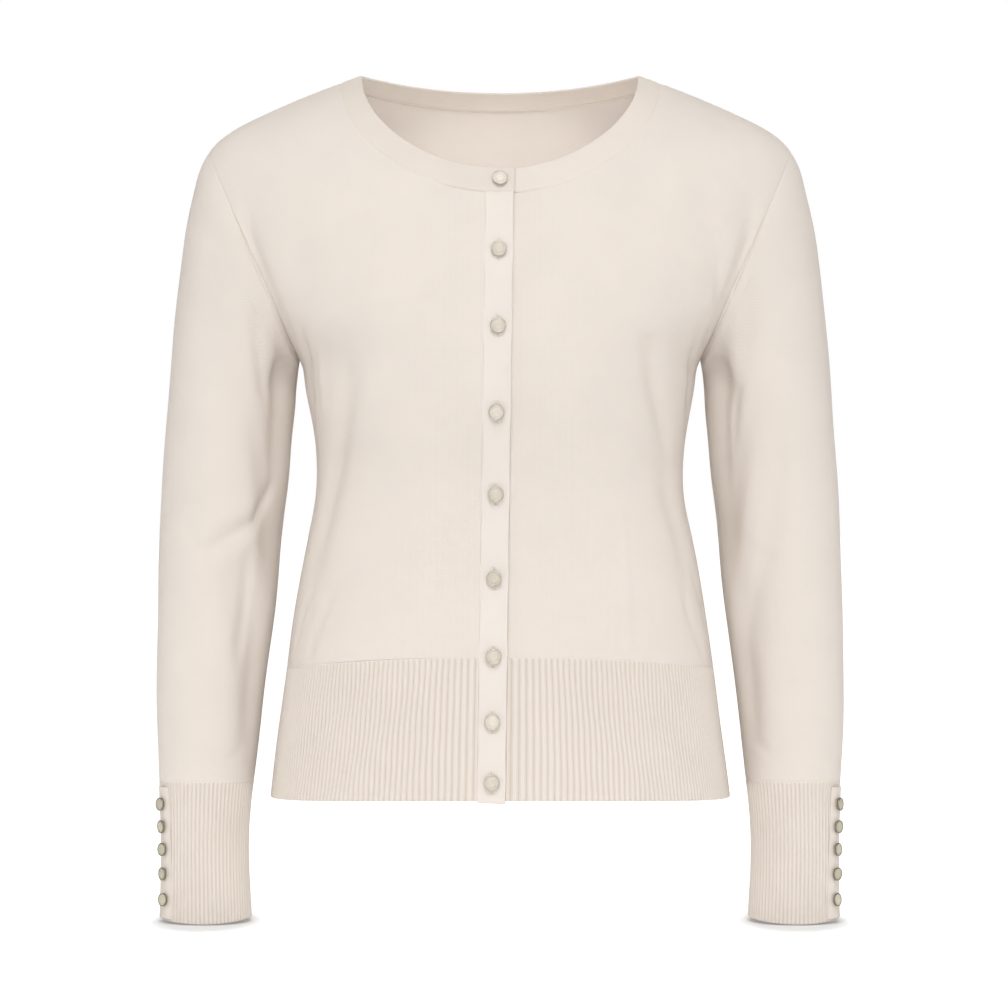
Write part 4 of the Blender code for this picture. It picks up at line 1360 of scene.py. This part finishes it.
@dataclass
class Sleeves:
    """Both sleeves with their cuffs and cuff plackets."""

    tube: SleeveTube
    finish: Wardrobe
    plain_wall: float = 1.5 * MM
    rib_wall: float = 1.8 * MM
    sleeve_length: float = 0.52
    sleeve_girth: float = 0.36
    cuff_length: float = 0.105
    cell: float = 3.4 * MM
    rib_cell: float = 4.5 * MM
    seam_groove: float = 0.3 * MM      # depth of the seam that runs down under the arm
    seam_reach: float = 1.2 * MM
    ribs: int = 68
    rib_pitch: float = CUFF_RIB
    rib_cells: int = 8
    rib_height: float = 0.80 * MM
    rib_fade: float = 3.5 * MM
    placket_width: float = 12.0 * MM
    placket_span: tuple[float, float] = (0.04, 0.985)
    placket_turn: tuple[float, float] = (31.0, 38.0)
    placket_height: float = 1.8 * MM
    placket_fall: float = 1.2 * MM
    drift: float = 0.5 * MM
    crease_clearance: float = 9 * MM
    valley_reach: float = 10 * MM
    row_length: float = 0.040         # mean length of a row, to give creases one scale in both directions
    degree_length: float = 0.00082    # mean length of a degree round the sleeve
    # Creases by rows down the sleeve and degrees round it.
    creases: dict[Side, tuple[tuple, ...]] = field(default_factory=lambda: {
        Side.RIGHT: (
            (((1.5, 150), (4.0, 149), (6.5, 149), (9.2, 150)), 0.0165, 0.0090),
            (((2.4, 106), (4.0, 114), (5.8, 124)), 0.0050, 0.0032),
            (((3.0, 132), (4.6, 134), (6.2, 136)), 0.0050, -0.0014),
            (((8.0, 150), (8.6, 128), (8.9, 100), (9.2, 78)), 0.0060, 0.0040),
            (((9.2, 122), (10.0, 124), (10.9, 122)), 0.0060, 0.0030),
            (((9.3, 106), (10.0, 134), (11.0, 144), (12.4, 148)), 0.0150, 0.0056),
            (((12.4, 140), (12.6, 120), (12.5, 98)), 0.0035, 0.0018),
            (((8.7, 60), (9.3, 78), (9.9, 92)), 0.0045, 0.0014),
            (((2.0, 62), (4.5, 72), (6.5, 80)), 0.0120, 0.0014),
            (((8.2, 240), (9.0, 262), (9.6, 290)), 0.0065, 0.0028),
            (((4.0, 230), (6.0, 224), (7.5, 214)), 0.0080, 0.0030),
            (((10.2, 236), (11.0, 250), (11.6, 262)), 0.0050, 0.0016),
        ),
        Side.LEFT: (
            (((1.5, 149), (4.0, 148), (6.5, 149), (9.0, 152)), 0.0165, 0.0090),
            (((5.4, 122), (6.3, 129), (7.2, 134)), 0.0050, 0.0026),
            (((7.5, 74), (9.1, 105), (10.2, 130)), 0.0070, 0.0034),
            (((9.0, 112), (9.8, 134), (10.8, 143), (12.4, 147)), 0.0150, 0.0056),
            (((12.3, 142), (12.5, 120), (12.4, 102)), 0.0035, 0.0015),
            (((1.4, 100), (3.4, 108), (5.0, 116)), 0.0070, 0.0024),
            (((8.0, 236), (8.9, 258), (9.5, 284)), 0.0065, 0.0026),
            (((3.6, 226), (5.6, 222), (7.3, 212)), 0.0080, 0.0032),
            (((10.4, 232), (11.0, 246), (11.5, 258)), 0.0050, 0.0015),
        ),
    })

    def crease_height(self, row: np.ndarray, angle: np.ndarray, side: Side) -> np.ndarray:
        """Relief of the creases of one sleeve."""
        u, v = np.mod(angle, 360) * self.degree_length, row * self.row_length
        total = np.zeros(np.broadcast(row, angle).shape)
        for path, width, depth in self.creases[side]:
            places = tuple((a * self.degree_length, r * self.row_length) for r, a in path)
            total += Crease(places, width, depth).height(u + 0 * v, v + 0 * u)
        return total

    def knit_map(self, points: np.ndarray) -> np.ndarray:
        """Wale and course positions of a closed sheet: wales count from the outer line both ways."""
        looped = np.concatenate([points, points[:, :1]], axis=1)
        wales = along(looped, 1)
        outer = wales[:, wales.shape[1] // 2][:, None]
        return np.stack([wales - outer, along(looped, 0)], axis=-1)

    def sleeve(self, side: Side) -> None:
        """Builds one plain sleeve.

        Args:
            side: The wearer's side.
        """
        row = graded(self.sleeve_length, self.cell)[:, None] * self.tube.cuff_row
        angle = (-180 + 360 * graded(self.sleeve_girth, self.cell)[:-1])[None, :]
        points, normals = self.tube.surface(row, angle, side)
        down = along(points, 0)
        clear = 1 - np.exp(-((down / self.crease_clearance) ** 2))
        clear *= 1 - np.exp(-(((down[-1:] - down) / self.crease_clearance) ** 2))
        height = self.crease_height(row, angle, side) * clear + unevenness(points, self.drift)
        over = along(points, 1)
        underarm = np.minimum(over, over[:, -1:] - over)
        height -= self.seam_groove * np.exp(-((underarm / self.seam_reach) ** 2))
        turn = np.radians(180 - np.abs(angle))
        front, back = (self.tube.valley(turn, face) for face in (Face.FRONT, Face.BACK))
        height -= np.where(angle > 0, front, back) * np.exp(-((down / self.valley_reach) ** 2))
        fore, aft = (self.tube.mitre(turn, face, side) for face in (Face.FRONT, Face.BACK))
        mitre = np.where((angle > 0)[..., None], fore, aft)
        near = np.exp(-((down / self.tube.mitre_reach) ** 2))[..., None]
        normals = unit(normals * (1 - near) + near * mitre)
        sheet = Sheet(
            f"{side.word}_sleeve", points, normals, self.knit_map(points), self.plain_wall, height,
            closed=True, edges=(Edge.SEAM, Edge.SEAM, Edge.PLAIN, Edge.PLAIN),
        )
        piece = sheet.build(self.finish.plain, Slot.PLAIN)

    def cuff(self, side: Side) -> None:
        """Builds one ribbed cuff.

        Args:
            side: The wearer's side.
        """
        columns = self.ribs * self.rib_cells
        share = graded(self.cuff_length, self.rib_cell)[:, None]
        row = self.tube.cuff_row + share * (self.tube.last_row - self.tube.cuff_row)
        angle = -180 + 360 * np.arange(columns)[None, :] / columns
        points, normals = self.tube.surface(row, angle, side)
        index = np.arange(columns)[None, :] / self.rib_cells
        sway = 0.14 * np.sin(7 * share + 0.10 * index) + 0.08 * np.sin(15 * share + 0.37 * index)
        phase = index + sway * np.sin(np.pi * index / self.ribs)
        ridge = np.abs(np.cos(np.pi * phase)) ** 0.8
        length = along(points, 0)
        fade = smoothstep(length / self.rib_fade)
        height = self.rib_height * (ridge - 1) * fade + unevenness(points, self.drift)
        knit = self.knit_map(points)
        steps = np.arange(columns + 1)[None, :] / self.rib_cells
        knit[..., 0] = (steps + 0.25) * self.rib_pitch
        sheet = Sheet(
            f"{side.word}_cuff", points, normals, knit, self.rib_wall, height,
            closed=True, edges=(Edge.SEAM, Edge.FREE, Edge.PLAIN, Edge.PLAIN),
        )
        piece = sheet.build(self.finish.cuff, Slot.RIB)

    def cuff_place(
        self, share: np.ndarray, side: Side, offset: np.ndarray = 0.0
    ) -> tuple[np.ndarray, np.ndarray]:
        """Finds places on the cuff placket.

        Args:
            share: Share of the cuff's length from its seam.
            side: The wearer's side.
            offset: Distance round the cuff from the placket's middle line.

        Returns:
            Points and normals.
        """
        first, last = self.placket_turn
        degrees = np.degrees(offset / float(self.tube.depth_at(self.tube.last_row)))
        row = self.tube.cuff_row + share * (self.tube.last_row - self.tube.cuff_row)
        return self.tube.surface(row, first + share * (last - first) + degrees, side)

    def cuff_placket(self, side: Side) -> None:
        """Builds the plain strip that carries a cuff's buttons.

        Args:
            side: The wearer's side.
        """
        share = self.placket_span[0] + graded(0.10, 3 * MM)[:, None] * np.diff(self.placket_span)[0]
        across = self.placket_width * (graded(self.placket_width, 1.5 * MM) - 0.5)[None, :]
        points, normals = self.cuff_place(share + 0 * across, side, across + 0 * share)
        crown = 0.25 * MM * (1 - (2 * across / self.placket_width) ** 4)
        crown = crown - self.placket_fall * smoothstep((across - 2.0 * MM) / (4.0 * MM))
        knit = np.stack([across + 0 * share, along(points, 0)], axis=-1)
        sheet = Sheet(
            f"{side.word}_cuff_placket", points, normals, knit, self.plain_wall,
            self.placket_height + crown + 0 * share, edges=(Edge.FREE,) * 4,
        )
        piece = sheet.build(self.finish.cuff_placket, Slot.PLACKET)

    def make(self) -> None:
        """Builds everything on both arms."""
        for side in Side:
            self.sleeve(side)
            self.cuff(side)
            self.cuff_placket(side)


# ---------------------------------------------------------------- threads and buttons
@dataclass
class Cord:
    """A thin thread along a path, lumpy where its loops pass over each other."""

    name: str
    path: np.ndarray
    radius: float
    loop: float = 1.2 * MM
    lump: float = 0.35
    sides: int = 6

    def mesh_parts(self) -> tuple[np.ndarray, np.ndarray]:
        """Vertices and quads of the tube."""
        length = along(self.path[None], 1)[0]
        count = max(4, int(length[-1] / self.loop * 4))
        at = np.linspace(0, length[-1], count)
        centre = np.stack([np.interp(at, length, self.path[:, k]) for k in range(3)], axis=-1)
        ahead = unit(np.gradient(centre, axis=0))
        guide = np.where(np.abs(ahead[:, 2:3]) < 0.9, np.array([[0, 0, 1.0]]), np.array([[0, 1.0, 0]]))
        first = unit(np.cross(ahead, guide))
        second = np.cross(ahead, first)
        radius = self.radius * (1 + self.lump * np.cos(2 * np.pi * at / self.loop))
        turn = np.arange(self.sides) * 2 * np.pi / self.sides
        ring = np.cos(turn)[None, :, None] * first[:, None] + np.sin(turn)[None, :, None] * second[:, None]
        vertices = centre[:, None] + radius[:, None, None] * ring
        index = np.arange(count * self.sides).reshape(count, self.sides)
        over = np.roll(index, -1, axis=1)
        quads = np.stack([index[:-1], over[:-1], over[1:], index[1:]], axis=-1).reshape(-1, 4)
        return vertices.reshape(-1, 3), quads


def join_cords(name: str, cords: Sequence[Cord], material: bpy.types.Material, slot: Slot) -> bpy.types.Object:
    """Makes one object from several threads.

    Args:
        name: The piece's name.
        cords: Its threads.
        material: Their finish.
        slot: The record's slot.

    Returns:
        The new piece.
    """
    vertices, faces, start = [], [], 0
    for cord in cords:
        points, quads = cord.mesh_parts()
        vertices.append(points)
        faces.append(quads + start)
        start += len(points)
    mesh = bpy.data.meshes.new(name)
    mesh.from_pydata(np.concatenate(vertices).tolist(), [], np.concatenate(faces).tolist())
    mesh.shade_smooth()
    mesh.materials.append(material)
    piece = bpy.data.objects.new(name, mesh)
    bpy.context.collection.objects.link(piece)
    place_piece(piece, slot)
    return piece


@dataclass
class Linking:
    """The chains of loops that join the knitted pieces."""

    torso: Torso
    tube: SleeveTube
    cloth: TorsoCloth
    finish: Wardrobe
    radius: float = 0.24 * MM
    sink: float = 0.38 * MM
    cuff_drift: float = 0.35 * MM

    def neck_paths(self) -> list[Cord]:
        """The chain round the neck seam outside, and a double one inside the back."""
        cords, shares = [], np.linspace(0, 1, 120)
        for face in Face:
            for side in Side:
                first_x = self.torso.placket_width / 2 if face is Face.FRONT else 1e-6
                for line_share, depth in ((0.0, -self.sink), (0.0, -2.0 * MM), (-0.16, -1.75 * MM)):
                    if depth < -self.sink and face is Face.FRONT:
                        continue
                    line = self.torso.neck_seam.toward(self.torso.neck_edge, line_share)
                    place = self.torso.neckline(line, face, first_x, shares)
                    points = self.torso.point(place[:, 0], place[:, 1], face, side.value)
                    normals = self.torso.normal(points, face)
                    height = depth + 0 * place[:, 1]
                    if (face, side) == (Face.FRONT, Side.RIGHT):
                        height = height + self.torso.lap(points[:, 0], place[:, 1])
                    cords.append(Cord("neck", points + height[:, None] * normals, self.radius))
        return cords

    def rib_paths(self) -> list[Cord]:
        """The chain round the top of the hem rib."""
        cords = []
        for face in Face:
            for side in Side:
                edge_x = self.cloth.inner_edge(face, side)
                rise = self.torso.rib_rise if face is Face.FRONT else 0.0
                top = self.torso.rib_z + rise
                angle = float(self.torso.angle(edge_x(top), np.array(top))) * np.linspace(1, 0, 200)
                z = self.torso.rib_z + rise * np.sin(angle) ** 2
                points = self.torso.point(angle, z, face, side.value)
                normals = self.torso.normal(points, face)
                height = unevenness(points, self.cloth.drift) - self.sink
                if (face, side) == (Face.FRONT, Side.RIGHT):
                    height = height + self.torso.lap(points[:, 0], z)
                cords.append(Cord("rib", points + height[:, None] * normals, self.radius))
        return cords

    def armhole_paths(self) -> list[Cord]:
        """The chain round each armhole."""
        cords = []
        for side in Side:
            points, normals = self.tube.surface(0.02, np.linspace(0, 360, 300), side)
            cords.append(Cord("armhole", points - 0.5 * MM * normals, self.radius))
        return cords

    def cuff_paths(self) -> list[Cord]:
        """The chain round the top of each cuff."""
        cords = []
        for side in Side:
            points, normals = self.tube.surface(self.tube.cuff_row, np.linspace(0, 360, 160), side)
            height = unevenness(points, self.cuff_drift) - self.sink
            cords.append(Cord("cuff", points + height[:, None] * normals, self.radius))
        return cords

    def make(self) -> None:
        """Builds the four groups of chains."""
        for name, cords, slot in (
            ("neck_linking", self.neck_paths(), Slot.RIB),
            ("hem_linking", self.rib_paths(), Slot.RIB),
            ("armhole_linking", self.armhole_paths(), Slot.PLAIN),
            ("cuff_linking", self.cuff_paths(), Slot.RIB),
        ):
            join_cords(name, cords, self.finish.thread, slot)


@dataclass(frozen=True)
class ButtonShape:
    """A turned button: a resin cap held in a plated rim, sewn through a shank."""

    radius: float
    steps: int = 48

    def rim(self) -> np.ndarray:
        """Profile of the rim, radius and height in metres, from its inner lip round to the shank."""
        r = self.radius
        return np.array([
            (0.845 * r, 2.60 * MM), (0.852 * r, 2.86 * MM), (0.880 * r, 3.02 * MM), (0.915 * r, 3.05 * MM),
            (0.955 * r, 2.96 * MM), (0.985 * r, 2.72 * MM), (1.000 * r, 2.40 * MM), (0.995 * r, 2.00 * MM),
            (0.965 * r, 1.55 * MM), (0.900 * r, 1.20 * MM), (0.780 * r, 1.02 * MM), (0.30 * r, 1.00 * MM),
        ])

    def cap(self) -> np.ndarray:
        """Profile of the cap: a low dome inside a turned groove."""
        r = self.radius
        return np.array([
            (0.0, 3.00 * MM), (0.22 * r, 2.99 * MM), (0.40 * r, 2.95 * MM), (0.52 * r, 2.86 * MM),
            (0.585 * r, 2.62 * MM), (0.63 * r, 2.45 * MM), (0.675 * r, 2.58 * MM), (0.72 * r, 2.80 * MM),
            (0.78 * r, 2.82 * MM), (0.825 * r, 2.70 * MM), (0.865 * r, 2.45 * MM),
        ])

    def shank(self) -> np.ndarray:
        """Profile of the wound thread under the button."""
        return np.array([(1.35 * MM, 1.10 * MM), (1.20 * MM, 0.55 * MM), (1.45 * MM, -0.20 * MM)])

    def mesh(self, name: str, materials: Sequence[bpy.types.Material]) -> bpy.types.Mesh:
        """Turns the three profiles into one mesh.

        Args:
            name: The mesh's name.
            materials: Finishes of the rim, the cap and the thread.

        Returns:
            The mesh, with its seat at z 0.
        """
        vertices, faces, slots, start = [], [], [], 0
        turn = np.arange(self.steps) * 2 * np.pi / self.steps
        for number, profile in enumerate((self.rim(), self.cap(), self.shank())):
            rows = len(profile)
            ring = np.stack([
                profile[:, :1] * np.cos(turn), profile[:, :1] * np.sin(turn), profile[:, 1:] + 0 * turn[None],
            ], axis=-1)
            index = start + np.arange(rows * self.steps).reshape(rows, self.steps)
            over = np.roll(index, -1, axis=1)
            quads = np.stack([index[:-1], index[1:], over[1:], over[:-1]], axis=-1).reshape(-1, 4)
            vertices.append(ring.reshape(-1, 3))
            faces += quads.tolist()
            slots += [number] * len(quads)
            start += rows * self.steps
        mesh = bpy.data.meshes.new(name)
        mesh.from_pydata(np.concatenate(vertices).tolist(), [], faces)
        for material in materials:
            mesh.materials.append(material)
        mesh.polygons.foreach_set("material_index", slots)
        mesh.shade_smooth()
        return mesh


@dataclass
class Buttons:
    """All buttons and the buttonholes of the front."""

    torso: Torso
    sleeves: Sleeves
    finish: Wardrobe
    front_z: tuple[float, ...] = (
        -0.0898, -0.1433, -0.2012, -0.2649, -0.3264, -0.3901, -0.4487, -0.4976, -0.5428,
    )
    cuff_share: tuple[float, ...] = (0.165, 0.339, 0.513, 0.687, 0.861)
    front: ButtonShape = ButtonShape(6.0 * MM)
    small: ButtonShape = ButtonShape(5.1 * MM)
    lap_gap: float = 0.3 * MM
    hole_length: float = 16.5 * MM
    hole_half_gap: float = 0.45 * MM
    hole_shift: float = 1.5 * MM       # how far the neckband's level hole sits towards the wearer's right
    lip_radius: float = 0.30 * MM
    lip_lift: float = 0.25 * MM
    bar_half: float = 1.1 * MM
    bar_lift: float = 0.3 * MM
    tones: tuple[int, ...] = (0, 1, 1, 0, 1, 2, 1, 0, 1)
    tilts: tuple[float, ...] = (5, -3, 4, -4, 3, -5, 4, -3, 5)

    def place(self, name: str, mesh: bpy.types.Mesh, seat: np.ndarray, normal: np.ndarray, tilt: float) -> None:
        """Puts one button on its seat.

        Args:
            name: The solid that it stands for.
            mesh: The button's mesh.
            seat: Point of the cloth under it.
            normal: The cloth's normal there.
            tilt: How far it leans sideways, in degrees.
        """
        piece = bpy.data.objects.new(f"{name}_look", mesh)
        turn = Vector(normal).to_track_quat("Z", "Y").to_matrix().to_4x4()
        lean = Matrix.Rotation(math.radians(tilt), 4, "Y") @ Matrix.Rotation(math.radians(-tilt / 2), 4, "X")
        piece.matrix_world = Matrix.Translation(Vector(seat)) @ turn @ lean
        bpy.context.collection.objects.link(piece)
        place_piece(piece, Slot.BUTTON, name)

    def buttonhole(self, z: float, level: bool) -> list[Cord]:
        """Threads round one buttonhole.

        Args:
            z: Height of its middle.
            level: Whether it lies level, as in the neckband.

        Returns:
            Both lips and a bar at each end.
        """
        turn = np.linspace(0, 2 * np.pi, 60)
        long_way = np.sign(np.cos(turn)) * np.abs(np.cos(turn)) ** 0.35 * self.hole_length / 2
        short_way = np.sin(turn) * self.hole_half_gap
        middle = float(self.torso.placket_middle(np.array(z)))
        x, up = (long_way - self.hole_shift, short_way) if level else (short_way, long_way)
        points, normals = self.torso.front_point(middle + x, z + up)
        raised = points + (self.torso.lap_height + self.lip_lift) * normals
        cords = [Cord("lip", raised, self.lip_radius, loop=0.6 * MM, lump=0.3)]
        for end in (-1, 1):
            bar = np.linspace(-self.bar_half, self.bar_half, 8)
            reach = end * self.hole_length / 2 + 0 * bar
            x, up = (reach - self.hole_shift, bar) if level else (bar, reach)
            points, normals = self.torso.front_point(middle + x, z + up)
            raised = points + (self.torso.lap_height + self.bar_lift) * normals
            cords.append(Cord("bar", raised, self.lip_radius, loop=0.5 * MM, lump=0.2))
        return cords

    def make(self) -> None:
        """Builds the front buttons, the cuff buttons and the buttonholes."""
        front = [
            self.front.mesh(f"front_button_{i}", (self.finish.rim, cap, self.finish.thread))
            for i, cap in enumerate(self.finish.caps)
        ]
        small = [
            self.small.mesh(f"cuff_button_{i}", (self.finish.cuff_rim, cap, self.finish.thread))
            for i, cap in enumerate(self.finish.cuff_caps)
        ]
        cords = []
        for i, z in enumerate(self.front_z):
            middle = self.torso.placket_middle(np.array(z))
            seat, normal = self.torso.front_point(middle, z)
            seat = seat + (self.torso.lap_height + self.lap_gap) * normal
            self.place(f"front_button_{i + 1}", front[self.tones[i]], seat, normal, self.tilts[i])
            cords += self.buttonhole(z, level=i == 0)
        join_cords("buttonholes", cords, self.finish.thread, Slot.PLACKET)
        for side in Side:
            for i, share in enumerate(self.cuff_share):
                seat, normal = self.sleeves.cuff_place(np.array(share), side)
                seat = seat + (self.sleeves.placket_height + self.lap_gap) * normal
                tone = self.tones[(i + side.value) % len(self.tones)]
                self.place(f"{side.word}_cuff_button_{i + 1}", small[tone], seat, normal, self.tilts[i])


# ---------------------------------------------------------------- studio
@dataclass(frozen=True)
class Softbox:
    """A square softbox: where it stands, what it points at, its side and its power in watts."""

    name: str
    place: tuple[float, float, float]
    aim: tuple[float, float, float]
    size: float
    power: float

    def make(self) -> None:
        """Hangs the lamp."""
        data = bpy.data.lights.new(self.name, "AREA")
        data.size = self.size
        data.energy = self.power
        lamp = bpy.data.objects.new(self.name, data)
        lamp.location = self.place
        lamp.visible_camera = False
        lamp.rotation_euler = (Vector(self.aim) - Vector(self.place)).to_track_quat("-Z", "Y").to_euler()
        bpy.context.collection.objects.link(lamp)


@dataclass
class Studio:
    """A paper floor, a lit white wall behind, softboxes and the camera."""

    floor_z: float = -0.6578
    floor_corners: tuple[tuple[float, float], ...] = ((-30, -30), (30, -30), (30, 30), (-30, 30))
    paper_corners: tuple[tuple[float, float], ...] = ((-0.75, -0.60), (0.75, -0.60), (7.0, 30), (-7.0, 30))
    paper_thickness: float = 2 * MM
    camera_place: tuple[float, float, float] = (0.0031, -2.600, -0.334)
    lens: float = 119.05
    sensor: float = 36
    clip_end: float = 50
    room: float = 0.42            # light of the room all round
    wall: float = 1.0             # light of the white wall behind the garment
    wall_edge: tuple[float, float] = (0.90, 0.975)    # how near to straight back its soft edge starts and ends
    softboxes: tuple[Softbox, ...] = (
        Softbox("front_softbox", (0.0, -3.2, -0.15), (0, 0, -0.2), 1.3, 28),
        Softbox("top_softbox", (0.0, -1.8, 1.7), (0, 0, -0.2), 1.2, 36),
        Softbox("left_softbox", (-2.3, -0.6, 0.0), (0, 0, -0.3), 1.4, 9),
        Softbox("right_softbox", (2.3, -0.6, 0.0), (0, 0, -0.3), 1.4, 9),
        Softbox("inner_lamp", (0.0, -0.02, -0.24), (0, 0.075, -0.03), 0.12, 0.23),
    )

    def lay(
        self, name: str, corners: Sequence[tuple[float, float]], z: float, finish: bpy.types.Material
    ) -> None:
        """Lays one flat sheet of the stage.

        Args:
            name: Its name.
            corners: Its corners, seen from above.
            z: Its height.
            finish: Its material.
        """
        mesh = bpy.data.meshes.new(name)
        mesh.from_pydata([(x, y, z) for x, y in corners], [], [(0, 1, 2, 3)])
        mesh.materials.append(finish)
        sheet = bpy.data.objects.new(name, mesh)
        bpy.context.collection.objects.link(sheet)

    def surroundings(self) -> None:
        """Makes the room's light: even, with a white wall behind the garment."""
        world = bpy.data.worlds.new("studio")
        world.use_nodes = True
        tree = world.node_tree
        way = add_node(tree, "ShaderNodeTexCoord").outputs["Generated"]
        split = add_node(tree, "ShaderNodeSeparateXYZ", {0: way})
        light = add_node(
            tree, "ShaderNodeMapRange",
            {0: split.outputs[1], 1: self.wall_edge[0], 2: self.wall_edge[1], 3: self.room, 4: self.wall},
            interpolation_type="SMOOTHSTEP",
        ).outputs[0]
        background = tree.nodes["Background"]
        background.inputs["Color"].default_value = to_linear("FFFFFF")
        tree.links.new(light, background.inputs["Strength"])
        bpy.context.scene.world = world

    def make(self) -> None:
        """Sets up floor, room, softboxes and camera."""
        self.lay("paper", self.paper_corners, self.floor_z, StudioPaper().make())
        painted = StudioPaper("painted_floor", white="DDDDDD", near_glow=0.0, far_glow=0.0).make()
        self.lay("floor", self.floor_corners, self.floor_z - self.paper_thickness, painted)
        self.surroundings()
        for softbox in self.softboxes:
            softbox.make()
        data = bpy.data.cameras.new("camera")
        data.lens = self.lens
        data.sensor_width = self.sensor
        data.clip_end = self.clip_end
        camera = bpy.data.objects.new("camera", data)
        camera.location = self.camera_place
        camera.rotation_euler = (math.pi / 2, 0, 0)
        bpy.context.collection.objects.link(camera)
        bpy.context.scene.camera = camera
        bpy.context.scene.view_settings.view_transform = "Standard"


def main() -> None:
    """Builds every sub-assembly in order."""
    logging.basicConfig(level=logging.INFO, format="%(name)s: %(message)s")
    finish = Wardrobe()
    torso = Torso()
    tube = SleeveTube(torso)
    cloth = TorsoCloth(torso, tube, finish)
    cloth.make()
    sleeves = Sleeves(tube, finish)
    sleeves.make()
    buttons = Buttons(torso, sleeves, finish)
    FrontBands(torso, finish).make(buttons.front_z)
    Linking(torso, tube, cloth, finish).make()
    buttons.make()
    Studio().make()


if __name__ == "__main__":
    main()
